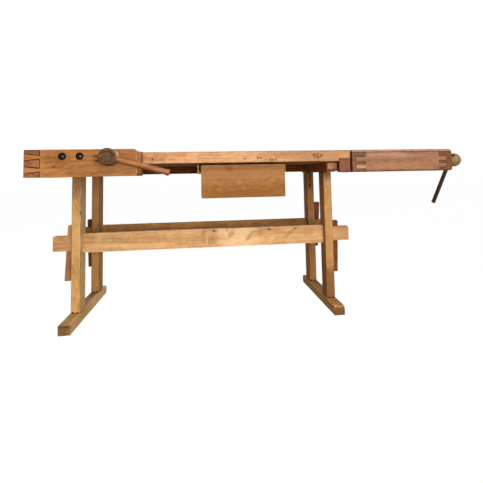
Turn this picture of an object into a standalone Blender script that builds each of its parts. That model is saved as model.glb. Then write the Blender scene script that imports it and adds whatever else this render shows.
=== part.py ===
"""Joiner's bench with a shoulder vise, a tail vise, a tool tray and a hanging drawer.

Bench coordinates: X runs right from the bench's left end, Y runs back from the
slab's front edge and Z runs up from the floor. Every piece hangs on one empty,
which puts the middle of the bench's footprint at the world origin.
"""
import math

import bmesh
import bpy
from mathutils import Vector

# Driving dimensions in metres: fits and finish
FIT = 0.0003                   # gap between two pieces that touch
RUN = 0.0006                   # radial clearance of a turning spindle
EDGE = 0.0025                  # eased arris on planed timber
PAST = 0.010                   # how far a cutter runs past the face it opens
LAP = 0.004                    # how far joined shapes reach into each other
ROUND_SIDES = 32               # facets of spindles and their bores
SMALL_SIDES = 20               # facets of handles, pegs and bolts

# Bench top
BENCH_HEIGHT = 0.820
SLAB_LENGTH = 1.687            # between the two end caps
SLAB_DEPTH = 0.420
SLAB_THICKNESS = 0.054
RIM_DEPTH = 0.107              # depth of arm, fixed jaw and tail vise below the top
LEFT_CAP_WIDTH = 0.058
RIGHT_CAP_WIDTH = 0.070
CAP_TONGUE_THICKNESS = 0.016
CAP_TONGUE_LENGTH = 0.014
CAP_TONGUE_INSET = 0.035       # from the slab's front and back edges
RAIL_TONGUE_THICKNESS = 0.012
RAIL_TONGUE_INSET = 0.011      # from the caps' top and the slab's underside
TRAY_WIDTH = 0.180
TRAY_FLOOR_THICKNESS = 0.018
TRAY_RABBET = 0.012
RAIL_THICKNESS = 0.030
RAIL_DEPTH = 0.095
RAIL_GROOVE = 0.008

# Dog holes
DOG_WIDTH = 0.022
DOG_LENGTH = 0.030
DOG_INSET = 0.050              # hole centre behind the front edge
DOG_PITCH = 0.115
DOG_FIRST = 0.100              # first hole centre left of the fixed jaw's face
DOG_CLEAR_OF_ARM = 0.040       # the row stops this far from the arm

# Shoulder vise
ARM_LENGTH = 0.423
ARM_THICKNESS = 0.082
ARM_TOP_CORNER = 0.016
ARM_FOOT_CORNER = 0.007
THROAT = 0.103                 # between arm and slab
DOVETAIL_PITCH = 0.050
DOVETAIL_WIDE = 0.027
DOVETAIL_NARROW = 0.0135
SPACER_LENGTH = 0.187
BOLT_FIRST = 0.140
BOLT_SPACING = 0.0655
BOLT_RADIUS = 0.006
BOLT_BITE = 0.070              # reach of the bolt into the slab
BOLT_HEAD_RADIUS = 0.0105
BOLT_HEAD_HEIGHT = 0.008
BOLT_HEAD_SIDES = 6
WASHER_RADIUS = 0.0130
WASHER_THICKNESS = 0.002
COUNTERBORE_RADIUS = 0.0150
COUNTERBORE_DEPTH = 0.018
FRONT_JAW_THICKNESS = 0.034
FRONT_JAW_OPENING = 0.014      # gap to the slab as stored
FRONT_JAW_END_CLEARANCE = 0.007
JAW_TONGUE_HEIGHT = 0.014
JAW_TONGUE_DEPTH = 0.010
FRONT_SCREW_X = 0.326
FRONT_SCREW_DROP = 0.0345      # axis below the bench top
FRONT_SPINDLE_RADIUS = 0.020
FRONT_TIP_RADIUS = 0.013
FRONT_TIP_LENGTH = 0.018
FRONT_HUB_RADIUS = 0.034
FRONT_HUB_LENGTH = 0.059
FRONT_HUB_STANDOFF = 0.0145    # bare spindle between hub and arm as stored
FRONT_HANDLE_RADIUS = 0.0108
FRONT_HANDLE_KNOB_RADIUS = 0.0122
FRONT_HANDLE_KNOB_LENGTH = 0.016
FRONT_HANDLE_REACH = 0.237     # axis to the far end
FRONT_HANDLE_STUB = 0.0515     # axis to the near end
FRONT_HANDLE_TILT = 15.7       # degrees below level, far end to the right

# Tail vise
JAW_FACE_X = 1.388             # end of the slab at the fixed jaw
FIXED_JAW_WIDTH = 0.056
FIXED_JAW_DEPTH = 0.022
FIXED_JAW_LET_IN = 0.011
TAIL_OPENING = 0.010           # gap to the fixed jaw as stored
TAIL_LENGTH = 0.520
TAIL_DEPTH = 0.130
TAIL_PLATE_THICKNESS = 0.011
TAIL_CHEEK_THICKNESS = 0.028
TAIL_JAW_WIDTH = 0.067
TAIL_END_WIDTH = 0.067
TAIL_JAW_STRIP = 0.018         # jaw wood left beyond the cheek's fingers
TAIL_END_STRIP = 0.027
TAIL_TOP_CORNER = 0.018        # rounding of the outer end, across plate and block
TAIL_FOOT_CORNER = 0.012
FINGERS = 2
FINGER_HEIGHT = 0.0225
FINGER_PITCH = 0.035
FINGER_TOP_PIN = 0.0235        # from the plate down to the first finger
GUIDE_TONGUE_HEIGHT = 0.012
GUIDE_TONGUE_DEPTH = 0.012
GUIDE_TONGUE_DROP = 0.033      # below the bench top
GUIDE_BAR_HEIGHT = 0.020
GUIDE_BAR_THICKNESS = 0.034
GUIDE_BAR_LAP = 0.025
NUT_CLEARANCE = 0.003          # between the nut and the parts that slide round it
TAIL_SCREW_INSET = 0.065       # axis behind the front face
TAIL_SPINDLE_RADIUS = 0.018
TAIL_SPINDLE_LENGTH = 0.358    # inside the vise, from the end block's outer face
TAIL_BALL_RADIUS = 0.0340
TAIL_BALL_INSET = 0.060        # ball centre from the end block's outer face
TAIL_NECK_RADIUS = 0.0270
KEEPER_THICKNESS = 0.010
KEEPER_WIDTH = 0.050
KEEPER_INSET = 0.028           # from the end block's outer face
KEEPER_GROOVE_RADIUS = 0.012
TAIL_HANDLE_RADIUS = 0.0098
TAIL_HANDLE_KNOB_RADIUS = 0.0118
TAIL_HANDLE_KNOB_LENGTH = 0.010
TAIL_HANDLE_SIDES = 8          # the bar is shaved to facets
TAIL_HANDLE_INSET = 0.040      # hole centre from the end block's outer face
TAIL_HANDLE_REACH = 0.276
TAIL_HANDLE_STUB = 0.030       # axis to the upper end, which sits in a recess of the hub
TAIL_HANDLE_LEAN = 32.5        # degrees from plumb, foot of the handle to the back

# Trestles
LEFT_TRESTLE_X = 0.0497        # centre line from the bench's left end
RIGHT_TRESTLE_INSET = 0.036    # centre line left of the fixed jaw's face
FOOT_FRONTS = {"left": 0.083, "right": 0.106}  # front of each foot behind the slab's edge
FOOT_WIDTH = 0.055
FOOT_HEIGHT = 0.046
FOOT_CHAMFER = 0.008
FOOT_HEEL = 0.013              # rounding under the rear end
FOOT_TOES = {"left": 0.007, "right": 0.021}  # rounding over the front end
FOOT_REAR_REACH = 0.058        # foot beyond the bearer's rear end
BEARER_FRONT = 0.140           # front of the bearer behind the slab's edge
BEARER_WIDTH = 0.054
BEARER_HEIGHT = 0.0485
BEARER_CHAMFER_RISE = 0.0135
BEARER_CHAMFER_RUN = 0.035
BEARER_RAIL_GAP = 0.003
LEG_WIDTH = 0.045
LEG_DEPTH = 0.074
FRONT_LEG_SETBACK = 0.079      # leg behind the bearer's front end
REAR_LEG_SETBACK = 0.004       # leg in front of the bearer's rear end
LEG_TENON_THICKNESS = 0.016
LEG_TENON_SHOULDER = 0.010
LEG_TENON_LENGTH = 0.026
PEG_RADIUS = 0.008
PEG_BITE = 0.016               # reach into the top
PEG_SEAT = 0.026               # reach into the bearer
PEG_END_MARGIN = 0.018         # left pegs stand this far inside the left cap's joint
FRONT_PEG_SETBACK = 0.040      # behind the bearer's front end
REAR_PEG_INSET = 0.055         # in front of the slab's back edge

# Stretchers and their tusk wedges
STRETCHER_BOTTOM = 0.333
STRETCHER_HEIGHT = 0.095
STRETCHER_THICKNESS = 0.028
STRETCHER_SHOULDER = 0.010
STRETCHER_OFFSET = 0.004       # behind the middle of the leg
TENON_REACH = 0.0985           # beyond the leg
TENON_CORNER = 0.004
WEDGE_LENGTH = 0.278
WEDGE_THICKNESS = 0.014
WEDGE_CLIP = 0.005
WEDGE_DRAW = 0.006             # slot behind the leg's face, so the wedge can draw up
WEDGE_RISES = {                # head above the stretcher
    "front_left": 0.044,
    "front_right": 0.023,
    "rear_left": 0.036,
    "rear_right": 0.101,
}
WEDGE_HEAD_WIDTHS = {          # the front left one is driven from below
    "front_left": 0.029,
    "front_right": 0.042,
    "rear_left": 0.034,
    "rear_right": 0.045,
}
WEDGE_FOOT_WIDTHS = {
    "front_left": 0.043,
    "front_right": 0.032,
    "rear_left": 0.026,
    "rear_right": 0.027,
}

# Drawer
DRAWER_LEFT = 0.672
DRAWER_WIDTH = 0.410
DRAWER_SETBACK = 0.068         # drawer front behind the slab's edge
DRAWER_HEAD_GAP = 0.006
DRAWER_FRONT_HEIGHT = 0.160
DRAWER_FRONT_THICKNESS = 0.018
DRAWER_FRONT_CORNER = 0.007
DRAWER_LENGTH = 0.340          # behind the drawer front
DRAWER_SIDE_INSET = 0.010      # side behind the end of the drawer front
DRAWER_SIDE_THICKNESS = 0.012
DRAWER_SIDE_HEAD = 0.012       # sides below the top of the drawer front
DRAWER_SIDE_FOOT = 0.006       # sides above the bottom of the drawer front
DRAWER_BOTTOM_THICKNESS = 0.008
DRAWER_BOTTOM_RISE = 0.006
DRAWER_GROOVE = 0.005
CLEAT_HEIGHT = 0.015
CLEAT_SETBACK = 0.052          # cleat behind the drawer front
RUNNER_START = 0.125           # behind the slab's edge
RUNNER_REAR_INSET = 0.014      # in front of the slab's back edge
RUNNER_WEB = 0.0105
RUNNER_LIP = 0.0145
RUNNER_LIP_THICKNESS = 0.010
RUNNER_DROP = 0.046            # from the slab's underside to the lip's underside
RUNNER_CLEARANCE = 0.0015      # beside the sliding cleat

# Places worked out from the driving dimensions
SLAB_LEFT = LEFT_CAP_WIDTH
SLAB_RIGHT = LEFT_CAP_WIDTH + SLAB_LENGTH
BENCH_RIGHT = SLAB_RIGHT + RIGHT_CAP_WIDTH
SLAB_BOTTOM = BENCH_HEIGHT - SLAB_THICKNESS
RIM_BOTTOM = BENCH_HEIGHT - RIM_DEPTH
RAIL_FRONT = SLAB_DEPTH + TRAY_WIDTH
TOP_REAR = RAIL_FRONT + RAIL_THICKNESS
ARM_FRONT = -(THROAT + ARM_THICKNESS)
SPACER_RIGHT = LEFT_CAP_WIDTH + SPACER_LENGTH
FRONT_AXIS_Z = BENCH_HEIGHT - FRONT_SCREW_DROP
FRONT_JAW_BACK = -FRONT_JAW_OPENING
FRONT_JAW_FRONT = FRONT_JAW_BACK - FRONT_JAW_THICKNESS
TAIL_LEFT = JAW_FACE_X + TAIL_OPENING
TAIL_RIGHT = TAIL_LEFT + TAIL_LENGTH
TAIL_JAW_RIGHT = TAIL_LEFT + TAIL_JAW_WIDTH
TAIL_END_LEFT = TAIL_RIGHT - TAIL_END_WIDTH
TAIL_PLATE_BOTTOM = BENCH_HEIGHT - TAIL_PLATE_THICKNESS
TAIL_AXIS_Z = BENCH_HEIGHT - RIM_DEPTH / 2
GUIDE_BAR_TOP = RIM_BOTTOM + GUIDE_BAR_HEIGHT
GUIDE_TONGUE_TOP = BENCH_HEIGHT - GUIDE_TONGUE_DROP
BOLT_Z = (SLAB_BOTTOM + BENCH_HEIGHT) / 2
BEARER_TOP = SLAB_BOTTOM - FIT
BEARER_BOTTOM = BEARER_TOP - BEARER_HEIGHT
BEARER_REAR = RAIL_FRONT - BEARER_RAIL_GAP
FRONT_LEG_Y = BEARER_FRONT + FRONT_LEG_SETBACK
REAR_LEG_Y = BEARER_REAR - REAR_LEG_SETBACK - LEG_DEPTH
RIGHT_TRESTLE_X = JAW_FACE_X - RIGHT_TRESTLE_INSET
FOOT_REAR = BEARER_REAR + FOOT_REAR_REACH
LEFT_TENON_TIP = LEFT_TRESTLE_X - LEG_WIDTH / 2 - TENON_REACH
RIGHT_TENON_TIP = RIGHT_TRESTLE_X + LEG_WIDTH / 2 + TENON_REACH
FRONT_HUB_FACE = ARM_FRONT - FRONT_HUB_STANDOFF - FRONT_HUB_LENGTH
TAIL_HUB_END = TAIL_RIGHT + TAIL_BALL_INSET + TAIL_BALL_RADIUS
DRAWER_TOP = SLAB_BOTTOM - DRAWER_HEAD_GAP
DRAWER_BACK_Y = DRAWER_SETBACK + DRAWER_FRONT_THICKNESS + DRAWER_LENGTH

WOODS = {
    "beech_slab": (0.79, 0.41, 0.20),
    "beech_arm": (0.48, 0.20, 0.063),
    "beech_pins": (0.36, 0.15, 0.054),
    "beech_legs": (0.50, 0.28, 0.12),
    "beech_stretcher": (0.70, 0.40, 0.18),
    "beech_drawer": (0.42, 0.19, 0.07),
    "pear_vise": (0.42, 0.20, 0.12),
    "dark_pine": (0.10, 0.035, 0.012),
    "dark_bar": (0.05, 0.022, 0.010),
    "turned_knob": (0.29, 0.17, 0.075),
}


def clear_scene():
    for obj in list(bpy.data.objects):
        bpy.data.objects.remove(obj, do_unlink=True)


def new_collection(name):
    collection = bpy.data.collections.new(name)
    bpy.context.scene.collection.children.link(collection)
    return collection


def finish(name, colour, roughness, metallic=0.0):
    material = bpy.data.materials.new(name)
    material.use_nodes = True
    shader = material.node_tree.nodes["Principled BSDF"]
    shader.inputs["Base Color"].default_value = (*colour, 1.0)
    shader.inputs["Roughness"].default_value = roughness
    shader.inputs["Metallic"].default_value = metallic
    return material


def add_part(name, mesh, material):
    """A named piece of the bench, hung on the bench's empty."""
    obj = bpy.data.objects.new(name, mesh)
    PARTS.objects.link(obj)
    obj.parent = BENCH
    mesh.materials.clear()
    mesh.materials.append(FINISHES[material])
    return obj


def add_tool(mesh):
    """A guide shape that cuts or joins pieces and isn't one itself."""
    obj = bpy.data.objects.new("tool", mesh)
    TOOLS.objects.link(obj)
    obj.parent = BENCH
    obj.hide_render = True
    obj.display_type = "WIRE"
    return obj


def box_mesh(low, high):
    """A box between two corners, its mesh centred on the object's origin."""
    size = Vector(high) - Vector(low)
    mesh = bpy.data.meshes.new("box")
    shape = bmesh.new()
    bmesh.ops.create_cube(shape, size=1.0)
    bmesh.ops.scale(shape, vec=size, verts=shape.verts)
    shape.to_mesh(mesh)
    shape.free()
    return mesh, (Vector(low) + Vector(high)) / 2


def ease_edges(obj, width):
    bevel = obj.modifiers.new("eased_edges", "BEVEL")
    bevel.width = width
    bevel.segments = 2
    bevel.limit_method = "ANGLE"
    bevel.angle_limit = math.radians(40)


def board(name, low, high, material, edge=EDGE):
    mesh, middle = box_mesh(low, high)
    obj = add_part(name, mesh, material)
    obj.location = middle
    if edge:
        ease_edges(obj, edge)
    return obj


def box_tool(low, high):
    mesh, middle = box_mesh(low, high)
    tool = add_tool(mesh)
    tool.location = middle
    return tool


def round_tool(start, end, radius, sides=ROUND_SIDES):
    """A cylinder from start to end."""
    start, end = Vector(start), Vector(end)
    mesh = bpy.data.meshes.new("rod")
    shape = bmesh.new()
    bmesh.ops.create_cone(
        shape, cap_ends=True, segments=sides, radius1=radius, radius2=radius, depth=(end - start).length
    )
    shape.to_mesh(mesh)
    shape.free()
    tool = add_tool(mesh)
    tool.location = (start + end) / 2
    tool.rotation_mode = "QUATERNION"
    tool.rotation_quaternion = (end - start).to_track_quat("Z", "X")
    return tool


def combine(target, tools, operation):
    for tool in tools:
        modifier = target.modifiers.new(operation.lower(), "BOOLEAN")
        modifier.operation = operation
        modifier.solver = "EXACT"
        modifier.object = tool


def cut(target, *tools):
    combine(target, tools, "DIFFERENCE")


def join(target, *tools):
    combine(target, tools, "UNION")


def arc(centre, radius, start, stop, steps=4):
    """Points of an arc in an outline, angles in degrees."""
    angles = [math.radians(start + (stop - start) * i / steps) for i in range(steps + 1)]
    return [(centre[0] + radius * math.cos(a), centre[1] + radius * math.sin(a)) for a in angles]


def outline_mesh(points, thickness):
    """A flat outline given thickness about its own plane."""
    mesh = bpy.data.meshes.new("outline")
    shape = bmesh.new()
    back = [shape.verts.new((u, v, -thickness / 2)) for u, v in points]
    front = [shape.verts.new((u, v, thickness / 2)) for u, v in points]
    shape.faces.new(reversed(back))
    shape.faces.new(front)
    for i in range(len(points)):
        shape.faces.new((back[i - 1], back[i], front[i], front[i - 1]))
    bmesh.ops.recalc_face_normals(shape, faces=shape.faces)
    shape.to_mesh(mesh)
    shape.free()
    return mesh


def stand_across(obj, y_low, y_high):
    """Turns an XZ outline upright and sets its thickness between two Y planes."""
    obj.rotation_euler = (math.radians(90), 0.0, 0.0)
    obj.location = (0.0, (y_low + y_high) / 2, 0.0)
    return obj


def stand_along(obj, x_low, x_high):
    """Turns a YZ outline upright and sets its thickness between two X planes."""
    obj.rotation_euler = (math.radians(90), 0.0, math.radians(90))
    obj.location = ((x_low + x_high) / 2, 0.0, 0.0)
    return obj


def plate_xz(name, points, y_low, y_high, material):
    return stand_across(add_part(name, outline_mesh(points, y_high - y_low), material), y_low, y_high)


def plate_yz(name, points, x_low, x_high, material):
    return stand_along(add_part(name, outline_mesh(points, x_high - x_low), material), x_low, x_high)


def tool_xz(points, y_low, y_high):
    return stand_across(add_tool(outline_mesh(points, y_high - y_low)), y_low, y_high)


def turned(name, profile, material, sides=ROUND_SIDES):
    """A turned piece: (radius, height) points from top to bottom, spun about local Z.

    A profile that comes back to its first point makes a ring.
    """
    mesh = bpy.data.meshes.new(name)
    shape = bmesh.new()
    ring = profile[0] == profile[-1]
    outline = profile[1:] if ring else profile
    points = [shape.verts.new((radius, 0.0, height)) for radius, height in outline]
    for upper, lower in zip(points, points[1:]):
        shape.edges.new((upper, lower))
    if ring:
        shape.edges.new((points[-1], points[0]))
    shape.to_mesh(mesh)
    shape.free()
    obj = add_part(name, mesh, material)
    spin = obj.modifiers.new("spin", "SCREW")
    spin.axis = "Z"
    spin.angle = math.radians(360)
    spin.steps = sides
    spin.render_steps = sides
    spin.use_merge_vertices = True
    spin.merge_threshold = 1e-5
    spin.use_smooth_shade = True
    return obj


def point_along(obj, origin, direction):
    """Sets a turned piece's local Z along a direction, with its origin on the axis."""
    obj.location = origin
    obj.rotation_mode = "QUATERNION"
    obj.rotation_quaternion = Vector(direction).to_track_quat("Z", "X")
    return obj


def tails(clearance):
    """Dovetail tails of the arm as XZ outlines, grown by a clearance for their sockets."""
    middle = (BENCH_HEIGHT + RIM_BOTTOM) / 2
    shapes = []
    for side in (-1, 1):
        z = middle + side * DOVETAIL_PITCH / 2
        wide = DOVETAIL_WIDE / 2 + clearance
        narrow = DOVETAIL_NARROW / 2 + clearance
        shapes.append((z, wide, narrow))
    return shapes


def build_slab():
    slab = board(
        "top_slab",
        (SLAB_LEFT + FIT, 0.0, SLAB_BOTTOM),
        (SLAB_RIGHT - FIT, SLAB_DEPTH - FIT, BENCH_HEIGHT),
        "beech_slab",
    )
    for side in ("left", "right"):
        join(slab, slab_tongue(side, 0.0))
    # the corner where the tail vise runs, and the groove that guides its jaw
    cut(
        slab,
        box_tool(
            (JAW_FACE_X, -PAST, SLAB_BOTTOM - PAST),
            (SLAB_RIGHT + PAST, TAIL_DEPTH, BENCH_HEIGHT + PAST),
        ),
        box_tool(
            (JAW_FACE_X - PAST, TAIL_DEPTH - PAST, GUIDE_TONGUE_TOP - GUIDE_TONGUE_HEIGHT - FIT),
            (SLAB_RIGHT + PAST, TAIL_DEPTH + GUIDE_TONGUE_DEPTH + FIT, GUIDE_TONGUE_TOP + FIT),
        ),
        # seat of the fixed jaw and rabbet of the tray floor
        box_tool(
            (JAW_FACE_X - FIXED_JAW_WIDTH - FIT, -PAST, SLAB_BOTTOM - PAST),
            (JAW_FACE_X + PAST, FIXED_JAW_DEPTH + FIT, SLAB_BOTTOM + FIXED_JAW_LET_IN + FIT),
        ),
        box_tool(
            (SLAB_LEFT - PAST, SLAB_DEPTH - TRAY_RABBET - FIT, SLAB_BOTTOM - PAST),
            (SLAB_RIGHT + PAST, SLAB_DEPTH + PAST, SLAB_BOTTOM + TRAY_FLOOR_THICKNESS + FIT),
        ),
    )
    for x in dog_places():
        cut(slab, dog_tool(x))
    for x in bolt_places():
        cut(slab, bolt_tool(x, -PAST, BOLT_BITE + FIT))
    for y in peg_places():
        cut(slab, peg_tool(RIGHT_TRESTLE_X, y))


def cap_tongue(side, y_low, y_high, z_low, z_high, clearance):
    """A tongue that enters an end cap, or with a clearance the groove it enters."""
    reach = CAP_TONGUE_LENGTH + clearance - FIT
    past = PAST if clearance else LAP
    if side == "left":
        x_low, x_high = SLAB_LEFT - reach, SLAB_LEFT + past
    else:
        x_low, x_high = SLAB_RIGHT - past, SLAB_RIGHT + reach
    return box_tool(
        (x_low, y_low - clearance, z_low - clearance),
        (x_high, y_high + clearance, z_high + clearance),
    )


def slab_tongue(side, clearance):
    front = CAP_TONGUE_INSET if side == "left" else TAIL_DEPTH + CAP_TONGUE_INSET
    z = (SLAB_BOTTOM + BENCH_HEIGHT) / 2
    half = CAP_TONGUE_THICKNESS / 2
    return cap_tongue(side, front, SLAB_DEPTH - CAP_TONGUE_INSET, z - half, z + half, clearance)


def rail_tongue(side, clearance):
    y = RAIL_FRONT + RAIL_THICKNESS / 2
    half = RAIL_TONGUE_THICKNESS / 2
    z_low = SLAB_BOTTOM + RAIL_TONGUE_INSET
    return cap_tongue(side, y - half, y + half, z_low, BENCH_HEIGHT - RAIL_TONGUE_INSET, clearance)


def dog_places():
    count = int((JAW_FACE_X - DOG_FIRST - ARM_LENGTH - DOG_CLEAR_OF_ARM) / DOG_PITCH) + 1
    return [JAW_FACE_X - DOG_FIRST - i * DOG_PITCH for i in range(count)]


def dog_tool(x):
    return box_tool(
        (x - DOG_WIDTH / 2, DOG_INSET - DOG_LENGTH / 2, RIM_BOTTOM - PAST),
        (x + DOG_WIDTH / 2, DOG_INSET + DOG_LENGTH / 2, BENCH_HEIGHT + PAST),
    )


def bolt_places():
    return (BOLT_FIRST, BOLT_FIRST + BOLT_SPACING)


def bolt_tool(x, y_low, y_high):
    return round_tool((x, y_low, BOLT_Z), (x, y_high, BOLT_Z), BOLT_RADIUS + FIT, SMALL_SIDES)


def peg_places():
    return (BEARER_FRONT + FRONT_PEG_SETBACK, SLAB_DEPTH - REAR_PEG_INSET)


def left_peg_x():
    return LEFT_CAP_WIDTH - PEG_END_MARGIN


def peg_tool(x, y):
    foot = BEARER_TOP - PEG_SEAT - FIT
    head = SLAB_BOTTOM + PEG_BITE + FIT
    return round_tool((x, y, foot), (x, y, head), PEG_RADIUS + FIT, SMALL_SIDES)


def build_tray():
    tray_floor_top = SLAB_BOTTOM + TRAY_FLOOR_THICKNESS
    board(
        "tray_floor",
        (SLAB_LEFT + FIT, SLAB_DEPTH - TRAY_RABBET, SLAB_BOTTOM),
        (SLAB_RIGHT - FIT, RAIL_FRONT + RAIL_GROOVE - FIT, tray_floor_top),
        "dark_pine",
        edge=0,
    )
    rail = board(
        "rear_rail",
        (SLAB_LEFT + FIT, RAIL_FRONT, BENCH_HEIGHT - RAIL_DEPTH),
        (SLAB_RIGHT - FIT, TOP_REAR, BENCH_HEIGHT),
        "dark_pine",
    )
    cut(
        rail,
        box_tool(
            (SLAB_LEFT - PAST, RAIL_FRONT - PAST, SLAB_BOTTOM - FIT),
            (SLAB_RIGHT + PAST, RAIL_FRONT + RAIL_GROOVE, tray_floor_top + FIT),
        ),
    )
    for side in ("left", "right"):
        join(rail, rail_tongue(side, 0.0))


def build_left_cap():
    """Deep where the arm is dovetailed on, and relieved to the slab's thickness over the trestle."""
    relief = BEARER_FRONT - FIT - LAP
    slope = RIM_DEPTH - SLAB_THICKNESS
    profile = [
        (ARM_FRONT, RIM_BOTTOM),
        (relief - slope, RIM_BOTTOM),
        (relief, SLAB_BOTTOM),
        (TOP_REAR, SLAB_BOTTOM),
        (TOP_REAR, BENCH_HEIGHT),
        (ARM_FRONT, BENCH_HEIGHT),
    ]
    cap = plate_yz("left_end_cap", profile, 0.0, LEFT_CAP_WIDTH, "beech_pins")
    for z, wide, narrow in tails(FIT):
        socket = [
            (-PAST, z - wide),
            (0.0, z - wide),
            (LEFT_CAP_WIDTH + PAST, z - narrow),
            (LEFT_CAP_WIDTH + PAST, z + narrow),
            (0.0, z + wide),
            (-PAST, z + wide),
        ]
        cut(cap, tool_xz(socket, ARM_FRONT - PAST, -THROAT + FIT))
    cut(cap, slab_tongue("left", FIT), rail_tongue("left", FIT))
    for y in peg_places():
        cut(cap, peg_tool(left_peg_x(), y))


def build_right_cap():
    """Cross piece at the right end. Its lowered front end is the nut of the tail screw."""
    nut_front = TAIL_CHEEK_THICKNESS + NUT_CLEARANCE
    nut_top = TAIL_PLATE_BOTTOM - FIT - NUT_CLEARANCE / 3
    nut_bottom = GUIDE_BAR_TOP + NUT_CLEARANCE
    profile = [
        (nut_front, nut_bottom),
        (TOP_REAR, nut_bottom),
        (TOP_REAR, BENCH_HEIGHT),
        (TAIL_DEPTH + FIT, BENCH_HEIGHT),
        (TAIL_DEPTH + FIT, nut_top),
        (nut_front, nut_top),
    ]
    cap = plate_yz("right_end_cap", profile, SLAB_RIGHT, BENCH_RIGHT, "beech_pins")
    cut(
        cap,
        slab_tongue("right", FIT),
        rail_tongue("right", FIT),
        tail_screw_tool(SLAB_RIGHT - PAST, BENCH_RIGHT + PAST),
    )


def tail_screw_tool(x_low, x_high):
    return round_tool(
        (x_low, TAIL_SCREW_INSET, TAIL_AXIS_Z),
        (x_high, TAIL_SCREW_INSET, TAIL_AXIS_Z),
        TAIL_SPINDLE_RADIUS + RUN,
    )


def build_arm():
    """Arm with through dovetails on its left end and rounded corners on its free end."""
    root = LEFT_CAP_WIDTH + FIT
    points = [(root, RIM_BOTTOM)]
    points += arc((ARM_LENGTH - ARM_FOOT_CORNER, RIM_BOTTOM + ARM_FOOT_CORNER), ARM_FOOT_CORNER, -90, 0)
    points += arc((ARM_LENGTH - ARM_TOP_CORNER, BENCH_HEIGHT - ARM_TOP_CORNER), ARM_TOP_CORNER, 0, 90)
    points.append((root, BENCH_HEIGHT))
    for z, wide, narrow in reversed(tails(0.0)):
        points += [(root, z + narrow), (0.0, z + wide), (0.0, z - wide), (root, z - narrow)]
    arm = plate_xz("vise_arm", points, ARM_FRONT, -THROAT, "beech_arm")
    for x in bolt_places():
        seat = ARM_FRONT + COUNTERBORE_DEPTH
        counterbore = round_tool((x, ARM_FRONT - PAST, BOLT_Z), (x, seat, BOLT_Z), COUNTERBORE_RADIUS)
        cut(arm, counterbore, bolt_tool(x, ARM_FRONT, PAST - THROAT))
    cut(
        arm,
        round_tool(
            (FRONT_SCREW_X, ARM_FRONT - PAST, FRONT_AXIS_Z),
            (FRONT_SCREW_X, PAST - THROAT, FRONT_AXIS_Z),
            FRONT_SPINDLE_RADIUS + RUN,
        ),
    )
    spacer = board(
        "spacer_block",
        (LEFT_CAP_WIDTH + FIT, FIT - THROAT, RIM_BOTTOM),
        (SPACER_RIGHT, -FIT, BENCH_HEIGHT),
        "beech_arm",
    )
    tongue_z = (RIM_BOTTOM + BENCH_HEIGHT) / 2
    cut(
        spacer,
        box_tool(
            (SPACER_RIGHT - JAW_TONGUE_DEPTH, -THROAT - PAST, tongue_z - JAW_TONGUE_HEIGHT / 2 - FIT),
            (SPACER_RIGHT + PAST, PAST, tongue_z + JAW_TONGUE_HEIGHT / 2 + FIT),
        ),
    )
    for x in bolt_places():
        cut(spacer, bolt_tool(x, -THROAT - PAST, PAST))


def build_arm_bolts():
    seat = ARM_FRONT + COUNTERBORE_DEPTH - FIT
    for number, x in enumerate(bolt_places(), start=1):
        washer = turned(
            f"arm_washer_{number}",
            [
                (BOLT_RADIUS + FIT, WASHER_THICKNESS),
                (WASHER_RADIUS, WASHER_THICKNESS),
                (WASHER_RADIUS, 0.0),
                (BOLT_RADIUS + FIT, 0.0),
                (BOLT_RADIUS + FIT, WASHER_THICKNESS),
            ],
            "steel",
            SMALL_SIDES,
        )
        point_along(washer, (x, seat, BOLT_Z), (0, -1, 0))
        head_seat = seat - WASHER_THICKNESS - FIT
        shank = BOLT_BITE - head_seat
        bolt = turned(
            f"arm_bolt_{number}",
            [(0.0, LAP), (BOLT_RADIUS, LAP), (BOLT_RADIUS, -shank), (0.0, -shank)],
            "steel",
            SMALL_SIDES,
        )
        point_along(bolt, (x, head_seat, BOLT_Z), (0, -1, 0))
        foot, top = (x, head_seat, BOLT_Z), (x, head_seat - BOLT_HEAD_HEIGHT, BOLT_Z)
        join(bolt, round_tool(foot, top, BOLT_HEAD_RADIUS, BOLT_HEAD_SIDES))


def build_front_jaw():
    jaw_left = SPACER_RIGHT + FRONT_JAW_END_CLEARANCE
    jaw_right = ARM_LENGTH - FRONT_JAW_END_CLEARANCE
    jaw = board(
        "front_jaw",
        (jaw_left, FRONT_JAW_FRONT, RIM_BOTTOM),
        (jaw_right, FRONT_JAW_BACK, BENCH_HEIGHT),
        "beech_arm",
    )
    tongue_z = (RIM_BOTTOM + BENCH_HEIGHT) / 2
    half = JAW_TONGUE_HEIGHT / 2
    join(
        jaw,
        box_tool(
            (SPACER_RIGHT - JAW_TONGUE_DEPTH + FIT, FRONT_JAW_FRONT + EDGE, tongue_z - half),
            (jaw_left + LAP, FRONT_JAW_BACK - EDGE, tongue_z + half),
        ),
    )
    cut(
        jaw,
        round_tool(
            (FRONT_SCREW_X, FRONT_JAW_FRONT - PAST, FRONT_AXIS_Z),
            (FRONT_SCREW_X, FRONT_JAW_FRONT + FRONT_TIP_LENGTH + FIT, FRONT_AXIS_Z),
            FRONT_TIP_RADIUS + RUN,
        ),
    )


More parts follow.
